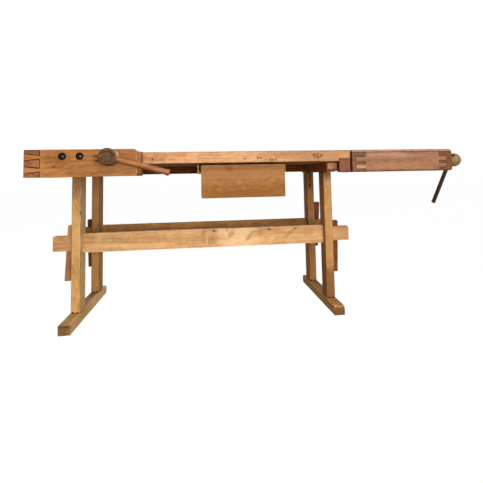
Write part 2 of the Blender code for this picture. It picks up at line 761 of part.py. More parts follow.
def build_front_screw():
    """Hub with a turned rim and a dished face, spindle, and a tip that seats in the jaw."""
    radius = FRONT_HUB_RADIUS
    back = FRONT_HUB_STANDOFF
    face = back + FRONT_HUB_LENGTH
    shoulder = ARM_FRONT - FRONT_JAW_FRONT + FIT
    tip = shoulder - FRONT_TIP_LENGTH
    rim = 0.16 * radius
    profile = [
        (0.0, face - rim / 2),
        (0.60 * radius, face - rim / 2),
        (0.72 * radius, face),
        (radius - rim, face),
        (radius - rim / 2, face - rim / 4),
        (radius - rim / 6, face - 0.8 * rim),
        (radius, face - 1.6 * rim),
        (radius, face - 2.2 * rim),
        (radius - rim / 2, face - 2.6 * rim),
        (radius - rim / 2, back + 1.6 * rim),
        (radius, back + 1.2 * rim),
        (radius, back + 0.5 * rim),
        (radius - rim / 2, back),
        (FRONT_SPINDLE_RADIUS, back),
        (FRONT_SPINDLE_RADIUS, shoulder),
        (FRONT_TIP_RADIUS, shoulder),
        (FRONT_TIP_RADIUS, tip),
        (0.0, tip),
    ]
    screw = turned("front_screw", profile, "turned_knob")
    point_along(screw, (FRONT_SCREW_X, ARM_FRONT, FRONT_AXIS_Z), (0, -1, 0))
    centre = Vector((FRONT_SCREW_X, ARM_FRONT - back - FRONT_HUB_LENGTH / 2, FRONT_AXIS_Z))
    tilt = math.radians(FRONT_HANDLE_TILT)
    along = Vector((math.cos(tilt), 0.0, -math.sin(tilt)))
    reach = (radius + PAST) * along
    cut(screw, round_tool(centre - reach, centre + reach, FRONT_HANDLE_RADIUS + FIT, SMALL_SIDES))
    handle = turned(
        "front_handle",
        handle_profile(
            FRONT_HANDLE_RADIUS,
            FRONT_HANDLE_KNOB_RADIUS,
            FRONT_HANDLE_KNOB_LENGTH,
            FRONT_HANDLE_REACH,
            FRONT_HANDLE_STUB,
        ),
        "beech_arm",
        SMALL_SIDES,
    )
    point_along(handle, centre, along)


def handle_profile(bar, knob, knob_length, reach, stub):
    """Bar that swells to a chamfered knob at each end, so it can't drop out of its hub."""
    chamfer = knob / 4
    far = [
        (0.0, reach),
        (knob - chamfer, reach),
        (knob, reach - chamfer),
        (knob, reach - knob_length / 2),
        (bar, reach - knob_length),
    ]
    near = [
        (bar, knob_length - stub),
        (knob, knob_length * 0.6 - stub),
        (knob, chamfer - stub),
        (knob - chamfer, -stub),
        (0.0, -stub),
    ]
    return far + near


def corner_tool(x, z, radius, upward):
    """What lies outside a rounded corner at the right-hand end of a piece."""
    turn = 90 if upward else -90
    side = 1 if upward else -1
    points = arc((x - radius, z - side * radius), radius, 0, turn, 6)
    points += [(x - radius, z + side * PAST), (x + PAST, z + side * PAST), (x + PAST, z - side * radius)]
    return tool_xz(points, -PAST, TAIL_DEPTH + PAST)


def fingers(clearance):
    """Lower and upper edges of the cheek's fingers."""
    top = TAIL_PLATE_BOTTOM - FINGER_TOP_PIN
    heads = [top - i * FINGER_PITCH for i in range(FINGERS)]
    return [(head - FINGER_HEIGHT - clearance, head + clearance) for head in heads]


def finger_tools(x_low, x_high):
    depth = TAIL_CHEEK_THICKNESS + FIT
    return [box_tool((x_low, -PAST, low), (x_high, depth, high)) for low, high in fingers(FIT)]


def build_tail_body():
    """Moving box of the tail vise: two blocks finger jointed to a cheek, a top plate and a guide bar."""
    block_top = TAIL_PLATE_BOTTOM - FIT
    back = TAIL_DEPTH - FIT
    finger_left = TAIL_LEFT + TAIL_JAW_STRIP
    finger_right = TAIL_RIGHT - TAIL_END_STRIP
    bar_front = back - GUIDE_BAR_THICKNESS
    bar_left = TAIL_JAW_RIGHT - GUIDE_BAR_LAP
    bar_right = TAIL_END_LEFT + GUIDE_BAR_LAP

    jaw = board(
        "tail_jaw_block",
        (TAIL_LEFT, 0.0, RIM_BOTTOM),
        (TAIL_JAW_RIGHT, back, block_top),
        "pear_vise",
        edge=0,
    )
    join(
        jaw,
        box_tool(
            (TAIL_LEFT + EDGE, back - LAP, GUIDE_TONGUE_TOP - GUIDE_TONGUE_HEIGHT),
            (TAIL_JAW_RIGHT - EDGE, TAIL_DEPTH + GUIDE_TONGUE_DEPTH, GUIDE_TONGUE_TOP),
        ),
    )
    dog_x = (TAIL_LEFT + TAIL_JAW_RIGHT) / 2
    cut(
        jaw,
        *finger_tools(finger_left, TAIL_JAW_RIGHT + PAST),
        dog_tool(dog_x),
        box_tool(
            (bar_left - FIT, bar_front - FIT, RIM_BOTTOM - PAST),
            (TAIL_JAW_RIGHT + PAST, back + PAST, GUIDE_BAR_TOP + FIT),
        ),
    )

    end = board(
        "tail_end_block",
        (TAIL_END_LEFT, 0.0, RIM_BOTTOM),
        (TAIL_RIGHT, back, block_top),
        "pear_vise",
        edge=0,
    )
    keeper_left = TAIL_RIGHT - KEEPER_INSET - KEEPER_THICKNESS / 2
    keeper_right = keeper_left + KEEPER_THICKNESS
    keeper_front = TAIL_SCREW_INSET - KEEPER_WIDTH / 2
    keeper_back = keeper_front + KEEPER_WIDTH
    cut(
        end,
        *finger_tools(TAIL_END_LEFT - PAST, finger_right),
        box_tool(
            (TAIL_END_LEFT - PAST, bar_front - FIT, RIM_BOTTOM - PAST),
            (bar_right + FIT, back + PAST, GUIDE_BAR_TOP + FIT),
        ),
        tail_screw_tool(TAIL_END_LEFT - PAST, TAIL_RIGHT + PAST),
        corner_tool(TAIL_RIGHT, BENCH_HEIGHT, TAIL_TOP_CORNER, True),
        corner_tool(TAIL_RIGHT, RIM_BOTTOM, TAIL_FOOT_CORNER, False),
        box_tool(
            (keeper_left - FIT, keeper_front - FIT, RIM_BOTTOM - PAST),
            (keeper_right + FIT, keeper_back + FIT, TAIL_AXIS_Z + FIT),
        ),
    )

    keeper = board(
        "tail_screw_keeper",
        (keeper_left, keeper_front, RIM_BOTTOM),
        (keeper_right, keeper_back, TAIL_AXIS_Z),
        "beech_pins",
        edge=0,
    )
    cut(
        keeper,
        round_tool(
            (keeper_left - PAST, TAIL_SCREW_INSET, TAIL_AXIS_Z),
            (keeper_right + PAST, TAIL_SCREW_INSET, TAIL_AXIS_Z),
            KEEPER_GROOVE_RADIUS + RUN,
        ),
    )

    cheek_left = TAIL_JAW_RIGHT + FIT
    cheek_right = TAIL_END_LEFT - FIT
    points = [(cheek_left, RIM_BOTTOM), (cheek_right, RIM_BOTTOM)]
    for low, high in reversed(fingers(0.0)):
        tip = finger_right - FIT
        points += [(cheek_right, low), (tip, low), (tip, high), (cheek_right, high)]
    points += [(cheek_right, block_top), (cheek_left, block_top)]
    for low, high in fingers(0.0):
        tip = finger_left + FIT
        points += [(cheek_left, high), (tip, high), (tip, low), (cheek_left, low)]
    plate_xz("tail_cheek", points, 0.0, TAIL_CHEEK_THICKNESS, "pear_vise")

    plate = board(
        "tail_top_plate",
        (TAIL_LEFT, 0.0, TAIL_PLATE_BOTTOM),
        (TAIL_RIGHT, back, BENCH_HEIGHT),
        "pear_vise",
        edge=EDGE / 2,
    )
    cut(plate, dog_tool(dog_x), corner_tool(TAIL_RIGHT, BENCH_HEIGHT, TAIL_TOP_CORNER, True))
    board(
        "tail_guide_bar",
        (bar_left, bar_front, RIM_BOTTOM),
        (bar_right, back, GUIDE_BAR_TOP),
        "beech_pins",
        edge=0,
    )


def build_fixed_jaw():
    board(
        "fixed_jaw",
        (JAW_FACE_X - FIXED_JAW_WIDTH, 0.0, RIM_BOTTOM),
        (JAW_FACE_X, FIXED_JAW_DEPTH, SLAB_BOTTOM + FIXED_JAW_LET_IN),
        "pear_vise",
        edge=EDGE / 2,
    )


def build_tail_screw():
    """Ball hub on a neck outside the end block, spindle with the groove that the keeper runs in."""
    radius = TAIL_BALL_RADIUS
    spindle = TAIL_SPINDLE_RADIUS
    neck_angle = 180 - math.degrees(math.asin(TAIL_NECK_RADIUS / radius))
    ball = arc((0.0, TAIL_BALL_INSET), radius, 90, 90 - neck_angle, 12)
    ball[0] = (0.0, TAIL_BALL_INSET + radius)
    groove_top = -KEEPER_INSET + KEEPER_THICKNESS / 2 + FIT
    groove_foot = -KEEPER_INSET - KEEPER_THICKNESS / 2 - FIT
    profile = ball + [
        (TAIL_NECK_RADIUS, FIT),
        (spindle, FIT),
        (spindle, groove_top),
        (KEEPER_GROOVE_RADIUS, groove_top),
        (KEEPER_GROOVE_RADIUS, groove_foot),
        (spindle, groove_foot),
        (spindle, EDGE - TAIL_SPINDLE_LENGTH),
        (spindle - EDGE, -TAIL_SPINDLE_LENGTH),
        (0.0, -TAIL_SPINDLE_LENGTH),
    ]
    screw = turned("tail_screw", profile, "turned_knob")
    point_along(screw, (TAIL_RIGHT, TAIL_SCREW_INSET, TAIL_AXIS_Z), (1, 0, 0))
    centre = Vector((TAIL_RIGHT + TAIL_HANDLE_INSET, TAIL_SCREW_INSET, TAIL_AXIS_Z))
    lean = math.radians(TAIL_HANDLE_LEAN)
    along = Vector((0.0, math.sin(lean), -math.cos(lean)))
    reach = (radius + PAST) * along
    seat = (TAIL_HANDLE_STUB - TAIL_HANDLE_KNOB_LENGTH - FIT) * along
    cut(
        screw,
        round_tool(centre - reach, centre + reach, TAIL_HANDLE_RADIUS + FIT, SMALL_SIDES),
        round_tool(centre - reach, centre - seat, TAIL_HANDLE_KNOB_RADIUS + FIT, SMALL_SIDES),
    )
    handle = turned(
        "tail_handle",
        handle_profile(
            TAIL_HANDLE_RADIUS,
            TAIL_HANDLE_KNOB_RADIUS,
            TAIL_HANDLE_KNOB_LENGTH,
            TAIL_HANDLE_REACH,
            TAIL_HANDLE_STUB,
        ),
        "dark_bar",
        TAIL_HANDLE_SIDES,
    )
    point_along(handle, centre, along)


def trestles():
    return (("left", LEFT_TRESTLE_X, left_peg_x()), ("right", RIGHT_TRESTLE_X, RIGHT_TRESTLE_X))


def leg_rows():
    return (("front", FRONT_LEG_Y), ("rear", REAR_LEG_Y))


def tenon_box(x, y, z_low, z_high, clearance):
    half = LEG_TENON_THICKNESS / 2 + clearance
    return box_tool(
        (x - half, y + LEG_TENON_SHOULDER - clearance, z_low),
        (x + half, y + LEG_DEPTH - LEG_TENON_SHOULDER + clearance, z_high),
    )


def build_trestle(side, x, peg_x):
    foot_front, toe = FOOT_FRONTS[side], FOOT_TOES[side]
    foot_profile = [(foot_front, 0.0)]
    foot_profile += arc((FOOT_REAR - FOOT_HEEL, FOOT_HEEL), FOOT_HEEL, -90, 0)
    foot_profile += [(FOOT_REAR, FOOT_HEIGHT - FOOT_CHAMFER), (FOOT_REAR - FOOT_CHAMFER, FOOT_HEIGHT)]
    foot_profile += arc((foot_front + toe, FOOT_HEIGHT - toe), toe, 90, 180)
    half = FOOT_WIDTH / 2
    foot = plate_yz(f"{side}_foot", foot_profile, x - half, x + half, "beech_legs")
    ease_edges(foot, EDGE)
    bearer_profile = [
        (BEARER_FRONT, BEARER_BOTTOM + BEARER_CHAMFER_RISE),
        (BEARER_FRONT + BEARER_CHAMFER_RUN, BEARER_BOTTOM),
        (BEARER_REAR, BEARER_BOTTOM),
        (BEARER_REAR, BEARER_TOP),
        (BEARER_FRONT, BEARER_TOP),
    ]
    half = BEARER_WIDTH / 2
    bearer = plate_yz(f"{side}_bearer", bearer_profile, x - half, x + half, "beech_legs")
    ease_edges(bearer, EDGE)
    leg_foot = FOOT_HEIGHT + FIT
    leg_head = BEARER_BOTTOM - FIT
    for row, y in leg_rows():
        leg = board(
            f"{side}_{row}_leg",
            (x - LEG_WIDTH / 2, y, leg_foot),
            (x + LEG_WIDTH / 2, y + LEG_DEPTH, leg_head),
            "beech_legs",
        )
        join(leg, tenon_box(x, y, leg_foot - LEG_TENON_LENGTH, leg_foot + LAP, 0.0))
        join(leg, tenon_box(x, y, leg_head - LAP, leg_head + LEG_TENON_LENGTH, 0.0))
        cut(foot, tenon_box(x, y, leg_foot - LEG_TENON_LENGTH - FIT, FOOT_HEIGHT + PAST, FIT))
        cut(bearer, tenon_box(x, y, BEARER_BOTTOM - PAST, leg_head + LEG_TENON_LENGTH + FIT, FIT))
        cut(leg, stretcher_mortise(x, y))
    for number, y in enumerate(peg_places(), start=1):
        peg = turned(
            f"{side}_peg_{number}",
            [(0.0, PEG_BITE), (PEG_RADIUS, PEG_BITE), (PEG_RADIUS, -PEG_SEAT), (0.0, -PEG_SEAT)],
            "beech_pins",
            SMALL_SIDES,
        )
        point_along(peg, (peg_x, y, BEARER_TOP), (0, 0, 1))
        cut(bearer, peg_tool(peg_x, y))


def stretcher_front(leg_y):
    return leg_y + LEG_DEPTH / 2 + STRETCHER_OFFSET - STRETCHER_THICKNESS / 2


def stretcher_mortise(x, leg_y):
    front = stretcher_front(leg_y)
    return box_tool(
        (x - LEG_WIDTH / 2 - PAST, front - FIT, STRETCHER_BOTTOM + STRETCHER_SHOULDER - FIT),
        (
            x + LEG_WIDTH / 2 + PAST,
            front + STRETCHER_THICKNESS + FIT,
            STRETCHER_BOTTOM + STRETCHER_HEIGHT - STRETCHER_SHOULDER + FIT,
        ),
    )


def build_stretcher(row, leg_y):
    """Long rail whose stub tenons run through the legs and are drawn tight by wedges."""
    front = stretcher_front(leg_y)
    left = LEFT_TRESTLE_X + LEG_WIDTH / 2 + FIT
    right = RIGHT_TRESTLE_X - LEG_WIDTH / 2 - FIT
    bottom = STRETCHER_BOTTOM
    top = STRETCHER_BOTTOM + STRETCHER_HEIGHT
    low = bottom + STRETCHER_SHOULDER
    high = top - STRETCHER_SHOULDER
    r = TENON_CORNER
    points = [(left, bottom), (right, bottom), (right, low)]
    points += arc((RIGHT_TENON_TIP - r, low + r), r, -90, 0, 2)
    points += arc((RIGHT_TENON_TIP - r, high - r), r, 0, 90, 2)
    points += [(right, high), (right, top), (left, top), (left, high)]
    points += arc((LEFT_TENON_TIP + r, high - r), r, 90, 180, 2)
    points += arc((LEFT_TENON_TIP + r, low + r), r, 180, 270, 2)
    points.append((left, low))
    back = front + STRETCHER_THICKNESS
    stretcher = plate_xz(f"{row}_stretcher", points, front, back, "beech_stretcher")
    middle = (front + back) / 2
    for side, outward, leg_face in (
        ("left", -1, LEFT_TRESTLE_X - LEG_WIDTH / 2),
        ("right", 1, RIGHT_TRESTLE_X + LEG_WIDTH / 2),
    ):
        place = f"{row}_{side}"
        head = top + WEDGE_RISES[place]
        foot = head - WEDGE_LENGTH
        outer = leg_face + outward * FIT
        head_edge = outer + outward * WEDGE_HEAD_WIDTHS[place]
        foot_edge = outer + outward * WEDGE_FOOT_WIDTHS[place]
        half = WEDGE_THICKNESS / 2
        wedge = [
            (outer, foot),
            (foot_edge, foot),
            (head_edge + (foot_edge - head_edge) * WEDGE_CLIP / WEDGE_LENGTH, head - WEDGE_CLIP),
            (head_edge - outward * WEDGE_CLIP, head),
            (outer, head),
        ]
        plate_xz(f"{place}_wedge", wedge, middle - half, middle + half, "beech_pins")
        slot = [
            (leg_face - outward * WEDGE_DRAW, foot),
            (foot_edge + outward * FIT, foot),
            (head_edge + outward * FIT, head),
            (leg_face - outward * WEDGE_DRAW, head),
        ]
        cut(stretcher, tool_xz(slot, middle - half - FIT, middle + half + FIT))


def mirror_x(points, axis_x):
    return [(2 * axis_x - x, z) for x, z in points]


def build_drawer():
    """Drawer box hung by a cleat on each side."""
    right = DRAWER_LEFT + DRAWER_WIDTH
    bottom = DRAWER_TOP - DRAWER_FRONT_HEIGHT
    back_of_front = DRAWER_SETBACK + DRAWER_FRONT_THICKNESS
    r = DRAWER_FRONT_CORNER
    points = arc((DRAWER_LEFT + r, bottom + r), r, 180, 270)
    points += arc((right - r, bottom + r), r, 270, 360)
    points += [(right, DRAWER_TOP), (DRAWER_LEFT, DRAWER_TOP)]
    plate_xz("drawer_front", points, DRAWER_SETBACK, back_of_front, "beech_drawer")

    side_low = bottom + DRAWER_SIDE_FOOT
    side_high = DRAWER_TOP - DRAWER_SIDE_HEAD
    groove_low = side_low + DRAWER_BOTTOM_RISE
    groove_high = groove_low + DRAWER_BOTTOM_THICKNESS
    inner_left = DRAWER_LEFT + DRAWER_SIDE_INSET + DRAWER_SIDE_THICKNESS
    inner_right = right - DRAWER_SIDE_INSET - DRAWER_SIDE_THICKNESS
    start = back_of_front + FIT
    cleat_low = cleat_bottom()
    for side, outer, inner in (
        ("left", DRAWER_LEFT + DRAWER_SIDE_INSET, inner_left),
        ("right", right - DRAWER_SIDE_INSET, inner_right),
    ):
        towards_middle = 1 if side == "left" else -1
        wall = board(
            f"drawer_{side}_side",
            (min(outer, inner), start, side_low),
            (max(outer, inner), DRAWER_BACK_Y, side_high),
            "beech_drawer",
            edge=0,
        )
        groove = inner - towards_middle * DRAWER_GROOVE
        past = inner + towards_middle * PAST
        cut(
            wall,
            box_tool(
                (min(groove, past), start - PAST, groove_low - FIT),
                (max(groove, past), DRAWER_BACK_Y + PAST, groove_high + FIT),
            ),
        )
        cleat_reach = DRAWER_SIDE_INSET + RUNNER_LIP - 2 * RUNNER_CLEARANCE - LAP
        cleat_outer = outer - towards_middle * cleat_reach
        seat = outer - towards_middle * FIT
        board(
            f"drawer_{side}_cleat",
            (min(cleat_outer, seat), back_of_front + CLEAT_SETBACK, cleat_low),
            (max(cleat_outer, seat), DRAWER_BACK_Y, cleat_low + CLEAT_HEIGHT),
            "beech_pins",
            edge=0,
        )
    board(
        "drawer_back",
        (inner_left + FIT, DRAWER_BACK_Y - DRAWER_SIDE_THICKNESS, groove_high + FIT),
        (inner_right - FIT, DRAWER_BACK_Y, side_high),
        "beech_drawer",
        edge=0,
    )
    board(
        "drawer_bottom",
        (inner_left - DRAWER_GROOVE + FIT, start, groove_low),
        (inner_right + DRAWER_GROOVE - FIT, DRAWER_BACK_Y, groove_high),
        "dark_pine",
        edge=0,
    )


def cleat_bottom():
    return SLAB_BOTTOM - RUNNER_DROP + RUNNER_LIP_THICKNESS + FIT


def build_runners():
    """L-shaped rails under the slab that the drawer's cleats slide on."""
    middle = DRAWER_LEFT + DRAWER_WIDTH / 2
    cleat_outer = DRAWER_LEFT - RUNNER_LIP + 2 * RUNNER_CLEARANCE + LAP
    web_inner = cleat_outer - RUNNER_CLEARANCE
    lip = SLAB_BOTTOM - RUNNER_DROP
    profile = [
        (web_inner - RUNNER_WEB, lip),
        (web_inner + RUNNER_LIP, lip),
        (web_inner + RUNNER_LIP, lip + RUNNER_LIP_THICKNESS),
        (web_inner, lip + RUNNER_LIP_THICKNESS),
        (web_inner, SLAB_BOTTOM - FIT),
        (web_inner - RUNNER_WEB, SLAB_BOTTOM - FIT),
    ]
    end = SLAB_DEPTH - RUNNER_REAR_INSET
    plate_xz("left_runner", profile, RUNNER_START, end, "beech_slab")
    plate_xz("right_runner", mirror_x(profile, middle), RUNNER_START, end, "beech_slab")


def build_bench():
    build_slab()
    build_tray()
    build_left_cap()
    build_right_cap()
    build_arm()
    build_arm_bolts()
    build_front_jaw()
    build_front_screw()
    build_fixed_jaw()
    build_tail_body()
    build_tail_screw()
    for side, x, peg_x in trestles():
        build_trestle(side, x, peg_x)
    for row, leg_y in leg_rows():
        build_stretcher(row, leg_y)
    build_runners()
    build_drawer()


clear_scene()
PARTS = new_collection("joiners_bench")
TOOLS = new_collection("cutters")
FINISHES = {name: finish(name, colour, 0.55) for name, colour in WOODS.items()}
FINISHES["steel"] = finish("steel", (0.22, 0.22, 0.23), 0.45, 1.0)
BENCH = bpy.data.objects.new("bench_origin", None)
PARTS.objects.link(BENCH)
BENCH.location = (
    -(LEFT_TENON_TIP + TAIL_HUB_END) / 2,
    -(FRONT_HUB_FACE + FOOT_REAR) / 2,
    0.0,
)
build_bench()
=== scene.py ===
import math

import bmesh
import bpy
from mathutils import Matrix, Vector, noise
from mathutils.bvhtree import BVHTree


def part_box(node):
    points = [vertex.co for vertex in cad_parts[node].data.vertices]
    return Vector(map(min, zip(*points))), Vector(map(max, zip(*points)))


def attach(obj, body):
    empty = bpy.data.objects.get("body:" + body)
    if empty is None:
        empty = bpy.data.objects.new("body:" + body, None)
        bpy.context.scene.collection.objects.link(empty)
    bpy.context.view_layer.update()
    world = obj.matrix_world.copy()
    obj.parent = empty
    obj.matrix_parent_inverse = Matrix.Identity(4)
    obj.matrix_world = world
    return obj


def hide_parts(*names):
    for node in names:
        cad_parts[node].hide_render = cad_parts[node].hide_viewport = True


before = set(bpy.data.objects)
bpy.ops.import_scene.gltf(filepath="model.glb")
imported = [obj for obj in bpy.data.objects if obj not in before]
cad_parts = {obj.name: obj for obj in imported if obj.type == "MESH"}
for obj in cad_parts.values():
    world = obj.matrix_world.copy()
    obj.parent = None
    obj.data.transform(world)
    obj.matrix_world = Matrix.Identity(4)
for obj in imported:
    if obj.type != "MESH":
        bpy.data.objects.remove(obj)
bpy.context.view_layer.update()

# Camera: a wide lens held low in front of the bench, left of its middle and a
# little below the top, turned slightly to the right and a touch off level.


def placed(name, data):
    """A new object in the scene, at the origin."""
    thing = bpy.data.objects.new(name, data)
    bpy.context.scene.collection.objects.link(thing)
    return thing


STANDPOINT = (-0.28135, -1.75225, 0.704)
YAW, PITCH, ROLL = 0.1102, 0.0600, -0.0193
ahead = Vector((math.sin(YAW) * math.cos(PITCH), math.cos(YAW) * math.cos(PITCH), math.sin(PITCH)))
level = Vector((math.cos(YAW), -math.sin(YAW), 0.0))
above = level.cross(ahead)
right = level * math.cos(ROLL) + above * math.sin(ROLL)
upward = above * math.cos(ROLL) - level * math.sin(ROLL)
lens = bpy.data.cameras.new("bench_camera")
lens.sensor_width = 36.0
lens.lens = 25.06
lens.shift_y = -0.1774
camera = placed("bench_camera", lens)
turned = Matrix((right, upward, -ahead)).transposed().to_4x4()
camera.matrix_world = Matrix.Translation(STANDPOINT) @ turned
bpy.context.scene.camera = camera

# Studio: a warm white room with a broad soft lamp in front to the right, a second one
# higher up, weak ones low in front and behind, and a pale floor. No film curve is used.
bpy.context.scene.view_settings.view_transform = "Standard"
bpy.context.scene.view_settings.look = "None"


def add(tree, kind, *inputs, **settings):
    """A node with its settings, its inputs linked or set in their order."""
    node = tree.nodes.new(kind if kind.startswith(("Geometry", "Function")) else "ShaderNode" + kind)
    for key, value in settings.items():
        setattr(node, key, value)
    for socket, value in zip(node.inputs, inputs):
        if isinstance(value, bpy.types.NodeSocket):
            tree.links.new(value, socket)
        elif value is not None:
            socket.default_value = value
    return node


room = bpy.data.worlds.new("white_room")
bpy.context.scene.world = room
room.use_nodes = True
walls = room.node_tree
walls.nodes.clear()
seen = add(walls, "LightPath").outputs["Is Camera Ray"]
lit = add(walls, "Background", (1.0, 0.94, 0.87, 1.0), 0.30)
shown = add(walls, "Background", (1.0, 1.0, 1.0, 1.0), 1.0)
either = add(walls, "MixShader", seen, lit.outputs[0], shown.outputs[0])
add(walls, "OutputWorld", either.outputs[0])

for name, place, aim, breadth, height, watts in (
    ("front_lamp", (1.60, -4.8, 1.00), (-0.10, 0.0, 0.50), 3.0, 1.8, 170.0),
    ("low_lamp", (-0.40, -2.7, 0.60), (-0.10, 0.0, 0.50), 1.2, 0.6, 22.0),
    ("high_lamp", (0.30, -2.3, 3.0), (0.0, 0.0, 0.55), 3.0, 2.0, 58.0),
    ("rear_lamp", (-0.80, 3.6, 2.2), (0.0, 0.2, 0.5), 2.0, 2.0, 45.0),
):
    lamp = placed(name, bpy.data.lights.new(name, "AREA"))
    lamp.data.shape = "RECTANGLE"
    lamp.data.size = breadth
    lamp.data.size_y = height
    lamp.data.energy = watts
    lamp.data.color = (1.0, 0.97, 0.93)
    lamp.location = place
    lamp.rotation_euler = (Vector(place) - Vector(aim)).to_track_quat("Z", "Y").to_euler()
    lamp.visible_camera = False

FLOOR_HALF, FLOOR_DROP, GLOW_SHARE = 40, 0.0005, 0.985
floor_mesh = bpy.data.meshes.new("studio_floor")
floor_corners = [(x * FLOOR_HALF, y * FLOOR_HALF, 0) for x, y in ((-1, -1), (1, -1), (1, 1), (-1, 1))]
floor_mesh.from_pydata(floor_corners, [], [(0, 1, 2, 3)])
floor = placed("studio_floor", floor_mesh)
floor.location.z = -FLOOR_DROP
paint = bpy.data.materials.new("floor_paint")
paint.use_nodes = True
coats = paint.node_tree
coats.nodes.clear()
seen = add(coats, "LightPath").outputs["Is Camera Ray"]
matt = add(coats, "BsdfDiffuse", (0.34, 0.29, 0.24, 1.0))
white = add(coats, "BsdfDiffuse", (0.9, 0.9, 0.9, 1.0))
glow = add(coats, "Emission", (1.0, 1.0, 1.0, 1.0), 1.0)
bright = add(coats, "MixShader", GLOW_SHARE, white.outputs[0], glow.outputs[0])
either = add(coats, "MixShader", seen, matt.outputs[0], bright.outputs[0])
add(coats, "OutputMaterial", either.outputs[0])
floor_mesh.materials.append(paint)

# Trestles: two frames of old beech, each a foot, two legs tenoned into it and a
# bearer under the top. The faces are hand planed and the arrises rubbed round.


def new_finish(name):
    """A material with its node tree and its shader."""
    material = bpy.data.materials.new(name)
    material.use_nodes = True
    return material, material.node_tree, material.node_tree.nodes["Principled BSDF"]


def relief(tree, shader, height, strength, distance):
    """Fine relief on a finish, from a height."""
    bump = add(tree, "Bump", strength, distance)
    tree.links.new(height, bump.inputs["Height"])
    tree.links.new(bump.outputs[0], shader.inputs["Normal"])


